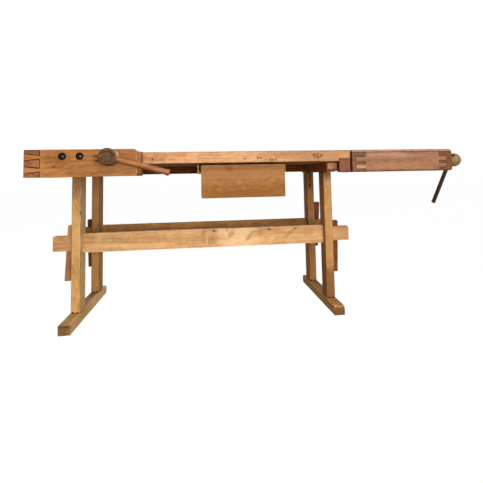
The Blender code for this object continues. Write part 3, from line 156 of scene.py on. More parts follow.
def wood(
    name, pale, dark, grain, heart, ring=0.012, lines=0.16, ripple=0.15, stain=0.3, fade=0.3, mottle=0.19,
    end=0.6, checks=0.3, rough=0.58, gloss=0.22, rub=None, knots=(), patches=(),
):
    """Timber: soft bands and growth lines about a heart line, fibre, flecks, stains, end grain and wear; some
    listed patches and darkened faces are painted light and painted shade.
    """
    material, tree, shader = new_finish(name)
    turn = {"X": (0.0, 0.0, 0.0), "Y": (0.0, 0.0, -math.pi / 2), "Z": (0.0, math.pi / 2, 0.0)}[grain]
    log_start, ring_scale, fray, knot_length = 1.7, 0.314, 0.6, 0.5
    spot = add(tree, "TexCoord")
    place = spot.outputs["Object"]
    along = add(tree, "Mapping", place, (log_start, heart[0], heart[1]), turn).outputs[0]

    def vector(how, *inputs):
        node = add(tree, "VectorMath", *inputs, operation=how)
        return node.outputs["Value" if how == "LENGTH" else "Vector"]

    def number(how, *inputs):
        return add(tree, "Math", *inputs, operation=how).outputs[0]

    def scaled(source, lengthwise, across):
        return vector("MULTIPLY", source, (lengthwise, across, across))

    def cloud(source, lengthwise, across, detail, harsh=0.55, part="Fac"):
        stretched = scaled(source, lengthwise, across)
        return add(tree, "TexNoise", stretched, None, 1.0, detail, harsh).outputs[part]

    def ranged(value, low, high, to_low=0.0, to_high=1.0):
        node = add(tree, "MapRange", value, low, high, to_low, to_high, interpolation_type="SMOOTHSTEP")
        return node.outputs[0]

    def sums(first, factor, second):
        return number("MULTIPLY_ADD", first, factor, second)

    def times(first, second):
        return number("MULTIPLY", first, second)

    def grey(value):
        return add(tree, "CombineColor", value, value, value).outputs[0]

    def mixed(factor, first, second, how="MIX"):
        node = add(tree, "Mix", factor, data_type="RGBA", blend_type=how)
        for socket, value in ((node.inputs[6], first), (node.inputs[7], second)):
            if isinstance(value, bpy.types.NodeSocket):
                tree.links.new(value, socket)
            else:
                socket.default_value = (*value, 1.0)
        return node.outputs[2]

    def deeper(share):
        return [c * share for c in dark]

    wander = cloud(along, 1.4, 4.5, 2.0, part="Color")
    bent = vector("MULTIPLY_ADD", wander, (0.0, 0.035, 0.035), along)
    wave = add(
        tree, "TexWave", bent, ring_scale / ring, 2.2, 2.0, 1.2, wave_type="RINGS", rings_direction="X"
    )
    drift = ranged(cloud(along, 2.2, 9.0, 2.0), 0.38, 0.66)
    late = times(number("POWER", wave.outputs["Fac"], 2.0), drift)
    band = ranged(cloud(bent, 1.1, 21.0, 3.0), 0.34, 0.66)
    streak = ranged(cloud(bent, 2.4, 80.0, 4.0, 0.6), 0.34, 0.68)
    fibre = cloud(bent, 10.0, 430.0, 4.0, 0.65)
    fleck = ranged(cloud(along, 75.0, 820.0, 1.0), 0.66, 0.75)
    blotch = ranged(cloud(along, 5.0, 13.0, 3.0, 0.62), 0.44, 0.74)
    slant = add(tree, "Mapping", along, (0.0, 0.0, 0.0), (0.0, 0.5, 0.3)).outputs[0]
    curl = ranged(cloud(slant, 17.0, 9.0, 4.0, 0.6), 0.36, 0.70)

    depth = sums(band, 0.40, sums(streak, 0.26, sums(late, lines, times(fibre, 0.2))))
    figure = sums(sums(curl, ripple, depth), 1.3, -0.14)
    tone = mixed(figure, pale, dark)
    tone = mixed(times(blotch, stain), tone, deeper(0.6))
    faded = ranged(cloud(slant, 7.0, 19.0, 3.0, 0.6), 0.50, 0.70)
    tone = mixed(times(faded, fade), tone, [c * 1.22 for c in pale])
    tone = mixed(times(fleck, 0.35), tone, deeper(0.5))
    speck = ranged(cloud(bent, 34.0, 130.0, 3.0, 0.62), 0.3, 0.7, 1.0 - mottle, 1.0 + mottle)
    tone = mixed(1.0, tone, grey(speck), "MULTIPLY")
    for middle, half, colour, strength, *lean in patches:
        off = vector("SUBTRACT", place, middle)
        if lean:
            off = add(tree, "Mapping", off, None, (0.0, lean[0], 0.0)).outputs[0]
        frayed = cloud(along, 30.0, 60.0, 3.0, part="Color")
        ragged = vector("MULTIPLY_ADD", frayed, [2 * fray * c for c in half], off)
        share = vector("DIVIDE", vector("SUBTRACT", ragged, [fray * c for c in half]), half)
        if lean:
            widest = vector("LENGTH", share)
        else:
            x, y, z = add(tree, "SeparateXYZ", vector("ABSOLUTE", share)).outputs
            widest = number("MAXIMUM", number("MAXIMUM", x, y), z)
        tone = mixed(ranged(widest, 1.25, 0.4, 0.0, strength), tone, mixed(0.15, colour, tone))
    for middle, radius in knots:
        ragged = vector("MULTIPLY_ADD", wander, (radius,) * 3, vector("SUBTRACT", place, middle))
        even = vector("SUBTRACT", ragged, (radius / 2,) * 3)
        share = [(knot_length if axis == grain else 1) / radius for axis in "XYZ"]
        reach = vector("LENGTH", vector("MULTIPLY", even, share))
        tone = mixed(ranged(reach, 2.8, 0.6, 0.0, 0.45), tone, deeper(0.8))
        tone = mixed(ranged(reach, 1.0, 0.45, 0.0, 0.9), tone, deeper(0.22))

    facing = add(tree, "SeparateXYZ", spot.outputs["Normal"]).outputs["XYZ".index(grain)]
    facing = number("ABSOLUTE", facing)
    pores = ranged(cloud(along, 90.0, 90.0, 4.0, 0.7), 0.35, 0.65, 1.0, 0.6)
    cells = add(tree, "TexVoronoi", scaled(bent, 3.0, 42.0), feature="DISTANCE_TO_EDGE").outputs[0]
    crack = ranged(cells, 0.045, 0.0, 0.0, checks)
    cut = mixed(1.0, tone, (end, end * 0.96, end * 0.9), "MULTIPLY")
    cut = mixed(crack, mixed(0.8, cut, grey(pores), "MULTIPLY"), deeper(0.12))
    tone = mixed(ranged(facing, 0.6, 0.9), tone, cut)
    arris = add(tree, "Attribute", attribute_name="arris").outputs["Fac"]
    handled = ranged(cloud(along, 25.0, 25.0, 2.0), 0.35, 0.6, 0.3, 1.0)
    edge = mixed(ranged(facing, 0.25, 0.5), rub or deeper(0.5), deeper(0.4))
    tone = mixed(times(arris, handled), tone, edge)
    # faces marked in the mesh turn dark: grime at joints, and painted shade on undersides, on faces turned
    # down and inside pockets and cuts
    grime_and_shade = add(tree, "Attribute", attribute_name="grime_and_shade").outputs["Fac"]
    packed = ranged(cloud(along, 60.0, 60.0, 2.0), 0.3, 0.55, 0.45, 1.0)
    tone = mixed(times(grime_and_shade, packed), tone, deeper(0.1))
    tree.links.new(tone, shader.inputs["Base Color"])

    polish = sums(grime_and_shade, 0.5, sums(fibre, 0.22, sums(blotch, -0.08, rough - 0.1)))
    tree.links.new(polish, shader.inputs["Roughness"])
    shader.inputs["Specular IOR Level"].default_value = gloss
    height = sums(fibre, 0.6, sums(late, 0.3, times(fleck, -0.5)))
    relief(tree, shader, height, 0.45, 0.0005)
    return material


def set_piece(name, mesh, material, body, slot, *nodes):
    """A finished piece, riding on its body in place of the solids it stands for."""
    piece = placed(name, mesh)
    mesh.materials.clear()
    mesh.materials.append(material)
    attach(piece, body)
    if nodes:
        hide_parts(*nodes)


def worn_shape(
    node, step=0.045, arris=0.0020, dent=0.0006, meets=(), dirt=1.0, pits=(), under=0.0, round_end=0.0
):
    """A solid's shape with rubbed edges and uneven faces, dirt where it meets its neighbours, and painted
    shade on its undersides and inside its pockets.
    """
    weld, cut_weld, flat_angle, sharp_angle, room = 1e-5, 1e-6, 0.01, 0.9, 2.5
    end_reach, end_length, end_margin, strip_width, touch = 0.004, 0.02, 0.003, 0.004, 0.0012
    square_on, upright, downward, inner_share = 0.99, 0.1, -0.9, 0.55
    slow, quick, quick_share = 9.0, 31.0, 0.6
    shape = bmesh.new()
    shape.from_mesh(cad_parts[node].data)
    rubbed = shape.faces.layers.float.new("arris")
    grime_shade_layer = shape.faces.layers.float.new("grime_and_shade")
    bmesh.ops.remove_doubles(shape, verts=shape.verts, dist=weld)
    bmesh.ops.dissolve_limit(shape, angle_limit=flat_angle, verts=shape.verts, edges=shape.edges)
    low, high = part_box(node)
    if round_end:
        corners = []
        for edge in shape.edges:
            at_end = all(high.x - v.co.x < end_reach and v.co.y - low.y < end_reach for v in edge.verts)
            if at_end and edge.calc_length() > end_length:
                corners.append(edge)
        bmesh.ops.bevel(shape, geom=corners, offset=round_end, segments=4, profile=0.5, affect="EDGES")
    sharp = []
    for edge in shape.edges:
        around = [other.calc_length() for vertex in edge.verts for other in vertex.link_edges]
        outward = len(edge.link_faces) == 2 and edge.is_convex and edge.calc_face_angle() > sharp_angle
        if outward and min(around) > room * arris:
            sharp.append(edge)
    bmesh.ops.bevel(
        shape, geom=sharp, offset=arris, segments=2, profile=0.5, affect="EDGES", clamp_overlap=False
    )
    neighbours = []
    for other in meets:
        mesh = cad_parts[other].data
        points, sides = [v.co for v in mesh.vertices], [p.vertices for p in mesh.polygons]
        neighbours.append(BVHTree.FromPolygons(points, sides))
    for axis in range(3):
        count = int((high[axis] - low[axis]) / step)
        normal = Vector((0.0, 0.0, 0.0))
        normal[axis] = 1.0
        for i in range(1, count):
            at = low.copy()
            at[axis] += (high[axis] - low[axis]) * i / count
            parts = shape.verts[:] + shape.edges[:] + shape.faces[:]
            bmesh.ops.bisect_plane(shape, geom=parts, dist=cut_weld, plane_co=at, plane_no=normal)
    bmesh.ops.recalc_face_normals(shape, faces=shape.faces)
    shape.normal_update()
    for face in shape.faces:
        middle = face.calc_center_median()
        square = max(abs(c) for c in face.normal) > square_on
        rounded = round_end and high.x - middle.x < round_end + end_margin and abs(face.normal.z) < upright
        narrow = face.calc_area() < strip_width * max(e.calc_length() for e in face.edges)
        if narrow and not square and not rounded:
            if any(tree.find_nearest(middle, arris + touch)[0] for tree in neighbours):
                face[grime_shade_layer] = dirt
            else:
                face[rubbed] = 1.0
        # faces turned down get painted shade, full along the front strip and less further back
        if face.normal.z < downward:
            face[grime_shade_layer] = under if middle.y - low.y < step else inner_share * under
        # faces inside the listed pockets are painted dark: painted shade in the recess
        for x, y, z, radius in pits:
            if middle.y > y and math.hypot(middle.x - x, middle.z - z) < radius:
                face[grime_shade_layer] = 1.0
    moves = []
    for vertex in shape.verts:
        swell = noise.noise(vertex.co * slow) + quick_share * noise.noise(vertex.co * quick)
        moves.append(vertex.normal * -dent * min(1.0, max(0.0, 0.5 + 0.5 * swell)))
    for vertex, move in zip(shape.verts, moves):
        vertex.co += move
    bmesh.ops.dissolve_degenerate(shape, dist=weld, edges=shape.edges)
    return shape


def carved(shape, *tools):
    """The shape with other closed shapes cut out of it; what they leave bare is painted dark, as grime and as
    painted shade inside the cut.
    """
    mesh = bpy.data.meshes.new("blank")
    shape.to_mesh(mesh)
    shape.free()
    blank = placed("blank", mesh)
    spent = [blank]
    for tool in tools:
        layer = tool.faces.layers.float.new("grime_and_shade")
        for face in tool.faces:
            face[layer] = 1.0
        knife_mesh = bpy.data.meshes.new("knife")
        tool.to_mesh(knife_mesh)
        tool.free()
        knife = placed("knife", knife_mesh)
        spent.append(knife)
        cut = blank.modifiers.new("cut", "BOOLEAN")
        cut.object = knife
        cut.solver = "EXACT"
    made = bpy.data.meshes.new_from_object(blank.evaluated_get(bpy.context.evaluated_depsgraph_get()))
    result = bmesh.new()
    result.from_mesh(made)
    for thing in spent:
        bpy.data.meshes.remove(thing.data)
    bpy.data.meshes.remove(made)
    return result


def finished_mesh(name, shape, crease=0.26):
    """The shape as a mesh that is shaded smooth except over edges sharper than the crease."""
    for edge in shape.edges:
        edge.smooth = len(edge.link_faces) == 2 and edge.calc_face_angle() < crease
    for face in shape.faces:
        face.smooth = True
    mesh = bpy.data.meshes.new(name)
    shape.to_mesh(mesh)
    shape.free()
    return mesh


def worn(node, material, body, slot, **wear):
    """A solid's piece, worn and set in its place."""
    mesh = finished_mesh(node, worn_shape(node, **wear))
    set_piece(f"worn_{node}", mesh, material, body, slot, node)


LEFT_TRESTLE, RIGHT_TRESTLE, REAR_ROW = -0.92, 0.383, 0.35
left_inside, right_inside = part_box("left_front_leg")[1].x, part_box("right_front_leg")[0].x
leg_wood = wood(
    "leg_beech", (0.66, 0.385, 0.145), (0.45, 0.232, 0.072), "Z", (0.09, 0.05), ripple=0.25,
    knots=(((-0.8992, 0.0208, 0.5345), 0.0065),),
    patches=(
        # painted shade: the top of the left front leg darker under the arm and the slab
        ((LEFT_TRESTLE, 0.04, 0.67), (0.05, 0.1, 0.08), (0.255, 0.118, 0.036), 0.75),
        ((LEFT_TRESTLE, 0.02, 0.42), (0.05, 0.02, 0.13), (0.76, 0.47, 0.19), 0.6),
        ((-0.905, 0.02, 0.585), (0.014, 0.03, 0.03), (0.40, 0.20, 0.065), 0.6),
        ((-0.9225, 0.02, 0.593), (0.0036, 0.03, 0.024), (0.80, 0.51, 0.22), 0.6, 0.64),
        ((-0.908, 0.02, 0.604), (0.0026, 0.03, 0.012), (0.72, 0.44, 0.18), 0.45, -0.5),
        # painted light: the inner side of the left front leg lighter and greyer, as if lit from the right
        ((left_inside, 0.05, 0.36), (0.003, 0.06, 0.40), (0.66, 0.46, 0.23), 0.9),
        ((left_inside, 0.05, 0.66), (0.003, 0.06, 0.14), (0.60, 0.43, 0.25), 0.9),
        ((RIGHT_TRESTLE, 0.04, 0.10), (0.05, 0.1, 0.16), (0.125, 0.038, 0.002), 0.95),
        ((RIGHT_TRESTLE, 0.04, 0.30), (0.05, 0.1, 0.09), (0.40, 0.19, 0.055), 0.7),
        ((RIGHT_TRESTLE, 0.04, 0.40), (0.05, 0.1, 0.13), (0.37, 0.195, 0.066), 0.5),
        # painted shade: the top of the right front leg darker under its bearer
        ((RIGHT_TRESTLE, 0.04, 0.725), (0.05, 0.1, 0.048), (0.17, 0.064, 0.014), 0.9),
        # painted shade: the inner side of the right front leg darker, turned from the light
        ((right_inside, 0.05, 0.38), (0.003, 0.06, 0.50), (0.32, 0.110, 0.016), 0.9),
    ),
)
# the rear legs take a darker copy of the leg beech: painted shade of the top over them
shaded_rear_leg_wood = wood(
    "rear_leg_beech", (0.42, 0.215, 0.082), (0.25, 0.118, 0.038), "Z", (0.05, 0.09), ripple=0.25, gloss=0.1,
    patches=(
        ((LEFT_TRESTLE, REAR_ROW, 0.18), (0.05, 0.1, 0.18), (0.56, 0.30, 0.11), 0.7),
        ((LEFT_TRESTLE, REAR_ROW, 0.62), (0.05, 0.1, 0.25), (0.46, 0.245, 0.108), 0.55),
        ((RIGHT_TRESTLE, REAR_ROW, 0.12), (0.05, 0.1, 0.16), (0.42, 0.20, 0.060), 0.5),
        # painted shade: the top of the right rear leg darker under its bearer
        ((RIGHT_TRESTLE, REAR_ROW, 0.62), (0.05, 0.1, 0.16), (0.28, 0.115, 0.032), 0.6),
        ((RIGHT_TRESTLE, REAR_ROW, 0.68), (0.05, 0.1, 0.09), (0.165, 0.058, 0.012), 0.85),
    ),
)
toe_low, toe_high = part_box("left_foot")
foot_wood = wood(
    "foot_beech", (0.62, 0.37, 0.155), (0.33, 0.17, 0.060), "Y", (0.03, 0.06), ring=0.011, lines=0.5,
    stain=0.6, mottle=0.3, end=0.52, checks=0.95, gloss=0.12, rub=(0.60, 0.375, 0.165),
    patches=(
        # painted light: the right side of the left foot lighter, as if lit from the right
        ((toe_high.x, 0.17, 0.025), (0.020, 0.5, 0.05), (0.78, 0.50, 0.23), 0.6),
        ((toe_high.x, 0.42, 0.025), (0.020, 0.3, 0.05), (0.92, 0.62, 0.32), 0.7),
        (((toe_low.x + toe_high.x) / 2, toe_low.y, 0.041), (0.04, 0.006, 0.009), (0.08, 0.045, 0.018), 0.7),
        # painted shade: the right foot darker on its left side, turned from the light
        ((0.36, 0.17, 0.02), (0.035, 0.5, 0.06), (0.44, 0.225, 0.070), 0.7),
        ((0.382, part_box("right_foot")[0].y, 0.02), (0.05, 0.004, 0.06), (0.30, 0.135, 0.032), 0.7),
    ),
)
runner_low, runner_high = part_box("left_runner")
bearer_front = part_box("right_bearer")[0].y
bearer_wood = wood(
    "bearer_beech", (0.38, 0.14, 0.036), (0.22, 0.072, 0.016), "Y", (0.05, 0.7), end=1.3, checks=0.1,
    mottle=0.06, gloss=0.1,
    patches=(
        # painted light: the front end of the right bearer brightened as if lit; the raised end-grain tone
        # serves the same painted light
        ((RIGHT_TRESTLE, bearer_front, 0.74), (0.06, 0.010, 0.06), (1.0, 0.57, 0.31), 1.0),
        ((runner_high.x, runner_low.y, 0.74), (0.04, 0.006, 0.06), (0.86, 0.50, 0.30), 0.75),
    ),
)
peg_wood = wood("peg_beech", (0.40, 0.2, 0.09), (0.24, 0.1, 0.04), "Z", (0.02, 0.02))
KERF_SIZE, KERF_X, KERF_HEIGHT = (0.0042, 0.024, 0.080), 0.380, 0.681
KERF_HOLE_RADIUS, KERF_HOLE_TALLER, KERF_HOLE_X, KERF_HOLE_HEIGHT = 0.0058, 1.7, 0.3785, 0.636
for side in ("left", "right"):
    legs = [f"{side}_front_leg", f"{side}_rear_leg"]
    worn(f"{side}_foot", foot_wood, "bench", "leg_wood", arris=0.003, dent=0.001, meets=legs)
    worn(f"{side}_bearer", bearer_wood, "bench", "leg_wood", meets=legs)
    around = [f"{side}_foot", f"{side}_bearer", "front_stretcher", "rear_stretcher"]
    worn(legs[0], leg_wood, "bench", "leg_wood", meets=around)
    shape = worn_shape(legs[1], meets=around)
    if side == "right":
        # an old saw kerf that ends in a drilled hole runs down the front of this leg; its inside is painted
        # dark, as grime and painted shade
        leg_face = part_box(legs[1])[0].y
        kerf = bmesh.new()
        bmesh.ops.create_cube(kerf, size=1.0)
        bmesh.ops.scale(kerf, vec=KERF_SIZE, verts=kerf.verts)
        bmesh.ops.translate(kerf, vec=(KERF_X, leg_face, KERF_HEIGHT), verts=kerf.verts)
        hole = bmesh.new()
        bmesh.ops.create_cone(
            hole, cap_ends=True, segments=24, radius1=KERF_HOLE_RADIUS, radius2=KERF_HOLE_RADIUS,
            depth=KERF_SIZE[1], matrix=Matrix.Rotation(math.pi / 2, 4, "X"),
        )
        bmesh.ops.scale(hole, vec=(1.0, 1.0, KERF_HOLE_TALLER), verts=hole.verts)
        bmesh.ops.translate(hole, vec=(KERF_HOLE_X, leg_face, KERF_HOLE_HEIGHT), verts=hole.verts)
        shape = carved(shape, kerf, hole)
    mesh = finished_mesh(legs[1], shape)
    set_piece(f"worn_{legs[1]}", mesh, shaded_rear_leg_wood, "bench", "leg_wood", legs[1])
    for number in (1, 2):
        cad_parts[f"{side}_peg_{number}"].data.materials[0] = peg_wood

# Stretchers: two knotty pale rails with long tenons through the legs, each drawn
# tight by a loose wedge of redder wood through a slot in the tenon.
RAIL_FRONT = 0.048
stretcher_wood = wood(
    "stretcher_beech", (0.73, 0.44, 0.200), (0.43, 0.218, 0.078), "X", (0.16, -0.30), ring=0.02,
    ripple=0.25, fade=0.2, mottle=0.10, rub=(0.84, 0.58, 0.31),
    knots=[((x, RAIL_FRONT, 0.417), size) for x, size in ((-0.236, 0.006), (0.059, 0.007), (0.204, 0.0045))],
    patches=(
        ((-0.11, RAIL_FRONT, 0.385), (0.12, 0.02, 0.08), (0.88, 0.61, 0.34), 0.6),
        ((-0.272, RAIL_FRONT, 0.37), (0.006, 0.02, 0.03), (0.84, 0.58, 0.33), 0.4),
        ((-0.290, RAIL_FRONT, 0.411), (0.009, 0.02, 0.020), (0.30, 0.135, 0.046), 0.65, -0.5),
        ((-0.146, RAIL_FRONT, 0.397), (0.014, 0.02, 0.026), (0.32, 0.150, 0.053), 0.65, -0.6),
        ((-0.166, RAIL_FRONT, 0.420), (0.006, 0.02, 0.014), (0.38, 0.175, 0.06), 0.55),
        ((-0.046, RAIL_FRONT, 0.383), (0.012, 0.02, 0.030), (0.32, 0.150, 0.053), 0.65, -0.7),
        ((-0.010, RAIL_FRONT, 0.406), (0.026, 0.02, 0.005), (0.36, 0.17, 0.06), 0.7),
        ((0.178, RAIL_FRONT, 0.398), (0.013, 0.02, 0.040), (0.26, 0.118, 0.040), 0.7, -0.85),
        ((0.150, RAIL_FRONT, 0.378), (0.014, 0.02, 0.022), (0.38, 0.185, 0.066), 0.6, -0.7),
        ((0.275, RAIL_FRONT, 0.398), (0.032, 0.02, 0.026), (0.38, 0.185, 0.066), 0.7),
        ((-0.42, RAIL_FRONT, 0.385), (0.02, 0.02, 0.05), (0.46, 0.235, 0.088), 0.4),
        ((0.28, RAIL_FRONT, 0.385), (0.13, 0.02, 0.10), (0.42, 0.235, 0.098), 0.45),
        ((0.50, 0.06, 0.385), (0.09, 0.06, 0.08), (0.36, 0.19, 0.080), 0.8),
    ),
)
# the rear stretcher takes a darker copy of the stretcher beech: painted shade of the top over it
shaded_rear_stretcher_wood = wood(
    "rear_stretcher_beech", (0.47, 0.232, 0.078), (0.29, 0.135, 0.040), "X", (0.11, -0.25), ring=0.02,
    ripple=0.3, gloss=0.1,
)
wedge_wood = wood(
    "wedge_plum", (0.48, 0.235, 0.100), (0.31, 0.135, 0.052), "Z", (0.05, 0.1), ring=0.008,
    patches=((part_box("front_left_wedge")[1], (0.09, 0.09, 0.10), (0.58, 0.31, 0.155), 0.8),),
)
# the rear wedges take darker copies of the wedge plum: painted shade of the top over them
shaded_rear_wedge_wood = wood(
    "rear_wedge_plum", (0.21, 0.064, 0.012), (0.12, 0.033, 0.006), "Z", (0.05, 0.1), ring=0.008, gloss=0.1
)
deep_shade_wedge_wood = wood(
    "dark_wedge_plum", (0.125, 0.050, 0.011), (0.068, 0.026, 0.006), "Z", (0.05, 0.1), ring=0.008, gloss=0.1,
    patches=((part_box("rear_left_wedge")[0], (0.08, 0.08, 0.13), (0.20, 0.075, 0.012), 0.9),),
)
shaded_wedge_wood = wood(
    "shaded_wedge_plum", (0.190, 0.066, 0.017), (0.115, 0.038, 0.009), "Z", (0.05, 0.1), ring=0.008, gloss=0.1
)
for row, material, key in (
    ("front", stretcher_wood, {"left": wedge_wood, "right": shaded_wedge_wood}),
    ("rear", shaded_rear_stretcher_wood, {"left": deep_shade_wedge_wood, "right": shaded_rear_wedge_wood}),
):
    legs = [f"left_{row}_leg", f"right_{row}_leg"]
    worn(f"{row}_stretcher", material, "bench", "stretcher_wood", arris=0.0016, meets=legs)
    for side in ("left", "right"):
        around = [f"{row}_stretcher"] + legs
        worn(f"{row}_{side}_wedge", key[side], "bench", "cap_wood", arris=0.004, step=0.03, meets=around)

# Bench top: a thick pale slab with square dog holes, a dark tool tray behind it
# and a cross piece tongued over each end.
SLAB_FRONT = -0.198
slab_wood = wood(
    "slab_beech", (0.635, 0.355, 0.183), (0.38, 0.172, 0.067), "X", (0.22, -0.95), ring=0.016, ripple=0.22,
    rough=0.55, gloss=0.12,
    patches=(
        ((0.29, SLAB_FRONT, 0.79), (0.26, 0.1, 0.08), (0.33, 0.162, 0.072), 0.8),
        ((0.256, SLAB_FRONT, 0.793), (0.024, 0.02, 0.012), (0.24, 0.11, 0.042), 0.5),
        # painted highlight: a yellowish light patch on the slab's front by the fixed jaw
        ((0.385, SLAB_FRONT, 0.797), (0.026, 0.02, 0.010), (0.52, 0.28, 0.100), 0.6),
    ),
)
cap_low, cap_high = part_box("left_end_cap")
# painted shade: the rounded left end of the cap and the arm darker where it turns away
shaded_left_end = (cap_low, (0.004, 0.012, 0.30), (0.11, 0.038, 0.012), 0.65)
cap_wood = wood(
    "cap_beech", (0.42, 0.17, 0.062), (0.24, 0.088, 0.030), "Y", (0.3, -0.6), ring=0.006, lines=0.4, end=0.95,
    patches=(
        ((cap_low.x + 0.03, cap_low.y, cap_high.z), (0.08, 0.02, 0.022), (0.165, 0.054, 0.017), 0.85),
        shaded_left_end,
    ),
)
tray_wood = wood(
    "tray_pine", (0.195, 0.054, 0.009), (0.10, 0.025, 0.004), "X", (0.1, -0.7), stain=0.4, gloss=0.05
)
# the slab's underside is painted dark: painted shade under the top
worn(
    "top_slab", slab_wood, "bench", "slab_wood", step=0.06, under=0.85,
    meets=("left_end_cap", "right_end_cap", "tray_floor", "fixed_jaw", "spacer_block"),
)
worn("tray_floor", tray_wood, "bench", "dark_wood", step=0.09)
worn("rear_rail", tray_wood, "bench", "dark_wood", step=0.06)
worn("left_end_cap", cap_wood, "bench", "cap_wood", arris=0.0016, dent=0.0, meets=("vise_arm", "top_slab"))
worn("right_end_cap", cap_wood, "bench", "cap_wood", meets=("top_slab",))

# Shoulder vise: a heavy golden arm dovetailed to the left cross piece and bolted
# through a spacer block, with a loose jaw board in its throat.
ARM_FRONT, ARM_POCKET_RADIUS, ARM_SKIN = -0.383, 0.0165, 0.0002
arm_wood = wood(
    "arm_beech", (0.43, 0.185, 0.052), (0.23, 0.084, 0.019), "X", (0.45, -0.62), ring=0.018, ripple=0.25,
    stain=0.4, end=1.0, checks=0.1, rough=0.5,
    knots=(((-0.861, ARM_FRONT, 0.753), 0.004), ((-0.6995, ARM_FRONT, 0.7735), 0.0065)),
    patches=(
        # painted shadow of the hub and handle on the arm's front
        ((-0.57, ARM_FRONT, 0.765), (0.05, 0.02, 0.06), (0.25, 0.09, 0.022), 0.6),
        ((-0.545, -0.335, 0.765), (0.006, 0.058, 0.08), (0.66, 0.31, 0.105), 0.95),
        ((cap_low.x + 0.025, cap_low.y, 0.765), (0.05, 0.04, 0.2), (0.54, 0.265, 0.105), 0.2),
        shaded_left_end,
    ),
)
bolt_places = [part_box(f"arm_bolt_{number}") for number in (1, 2)]
pocket_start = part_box("vise_arm")[0].y + ARM_SKIN
# the arm's bolt pockets are painted near-black inside: painted shade in the recess
worn(
    "vise_arm", arm_wood, "bench", "arm_wood", arris=0.0016, dent=0.0, round_end=0.006,
    meets=("left_end_cap", "spacer_block"),
    pits=[((a.x + b.x) / 2, pocket_start, (a.z + b.z) / 2, ARM_POCKET_RADIUS) for a, b in bolt_places],
)
worn("spacer_block", arm_wood, "bench", "arm_wood", meets=("vise_arm", "top_slab", "left_end_cap"))
worn("front_jaw", arm_wood, "front_jaw", "arm_wood")

# Arm bolts: rusty iron hexagon heads on washers, near-black as rust and as painted shade in the two
# round pockets they are sunk in; the middle of each head is a small dome that rubbing has left bright.


def iron(name, bare, rusty, metal, shine=0.5):
    """Old iron, patchy between bare grey and brown rust."""
    material, tree, shader = new_finish(name)
    place = add(tree, "TexCoord").outputs["Object"]
    grey = add(tree, "TexNoise", place, None, 700.0, 4.0, 0.6).outputs["Fac"]
    skin = add(tree, "Mix", add(tree, "MapRange", grey, 0.4, 0.65).outputs[0], data_type="RGBA")
    skin.inputs[6].default_value = (*bare, 1.0)
    skin.inputs[7].default_value = (*rusty, 1.0)
    tree.links.new(skin.outputs[2], shader.inputs["Base Color"])
    tree.links.new(add(tree, "MapRange", grey, 0.3, 0.7, 0.4, 0.75).outputs[0], shader.inputs["Roughness"])
    relief(tree, shader, grey, 0.5, 0.0003)
    shader.inputs["Metallic"].default_value = metal
    shader.inputs["Specular IOR Level"].default_value = shine
    return material


def lathe(profile, start, along, sides=64, downward_shade=0.0):
    """A closed turning: each radius and distance of the profile is a ring about the line from start."""
    shape = bmesh.new()
    grime_shade_layer = shape.faces.layers.float.new("grime_and_shade")
    turn = Vector(along).to_track_quat("Z", "Y").to_matrix()
    rings = []
    for radius, far in profile:
        ring = []
        for i in range(sides if radius > 0 else 1):
            angle = 2 * math.pi * i / sides
            at = turn @ Vector((radius * math.cos(angle), radius * math.sin(angle), far))
            ring.append(shape.verts.new(Vector(start) + at))
        rings.append(ring)
    for first, second in zip(rings, rings[1:]):
        for i in range(sides):
            j = (i + 1) % sides
            corners = [first[i % len(first)], first[j % len(first)]]
            corners += [second[j % len(second)], second[i % len(second)]]
            shape.faces.new(list(dict.fromkeys(corners)))
    bmesh.ops.recalc_face_normals(shape, faces=shape.faces)
    for face in shape.faces:
        # faces turned downward are darkened: painted shade
        face[grime_shade_layer] = downward_shade * min(1.0, max(0.0, 0.1 - face.normal.z))
    return shape


def set_shape(name, shape, crease, material, body, slot, *nodes):
    """A made shape, shaded and set in its place."""
    set_piece(name, finished_mesh(name, shape, crease), material, body, slot, *nodes)


DOME_SINK = 0.0006
dome_profile = [
    (0.0, -0.002), (0.0042, -0.002), (0.0042, 0.0010), (0.0034, 0.0022), (0.0020, 0.0030), (0.0, 0.0033),
]
dull_iron = iron("dull_iron", (0.26, 0.25, 0.24), (0.05, 0.038, 0.030), 0.8)
# near-black both as rust and as painted shade for the heads and washers in the pockets; the nail heads use it
# too
rusty_iron = iron("rusty_iron", (0.016, 0.010, 0.007), (0.010, 0.006, 0.004), 0.1, shine=0.15)
for number in (1, 2):
    worn(f"arm_bolt_{number}", rusty_iron, "bench", "bolt_steel", arris=0.0012, dent=0.0001)
    worn(f"arm_washer_{number}", rusty_iron, "bench", "bolt_steel", arris=0.0003, dent=0.0)
    low, high = bolt_places[number - 1]
    middle = ((low.x + high.x) / 2, low.y + DOME_SINK, (low.z + high.z) / 2)
    dome = lathe(dome_profile, middle, (0.0, -1.0, 0.0), sides=24)
    set_shape(f"arm_bolt_dome_{number}", dome, 0.8, dull_iron, "bench", "bolt_steel")

# Front screw: one turning of dark beech, a drum hub with a scribed, dished face and
# a spindle with a coarse wooden thread; a plain bar slides through the hub.


def new_tree(name, **inputs):
    """An empty Geometry Nodes tree with a geometry going in and out, and its named inputs."""
    tree = bpy.data.node_groups.new(name, "GeometryNodeTree")
    tree.interface.new_socket("Geometry", in_out="INPUT", socket_type="NodeSocketGeometry")
    for label, kind in inputs.items():
        tree.interface.new_socket(label.replace("_", " "), in_out="INPUT", socket_type="NodeSocket" + kind)
    tree.interface.new_socket("Geometry", in_out="OUTPUT", socket_type="NodeSocketGeometry")
    return tree, tree.nodes.new("NodeGroupInput").outputs, tree.nodes.new("NodeGroupOutput").inputs[0]


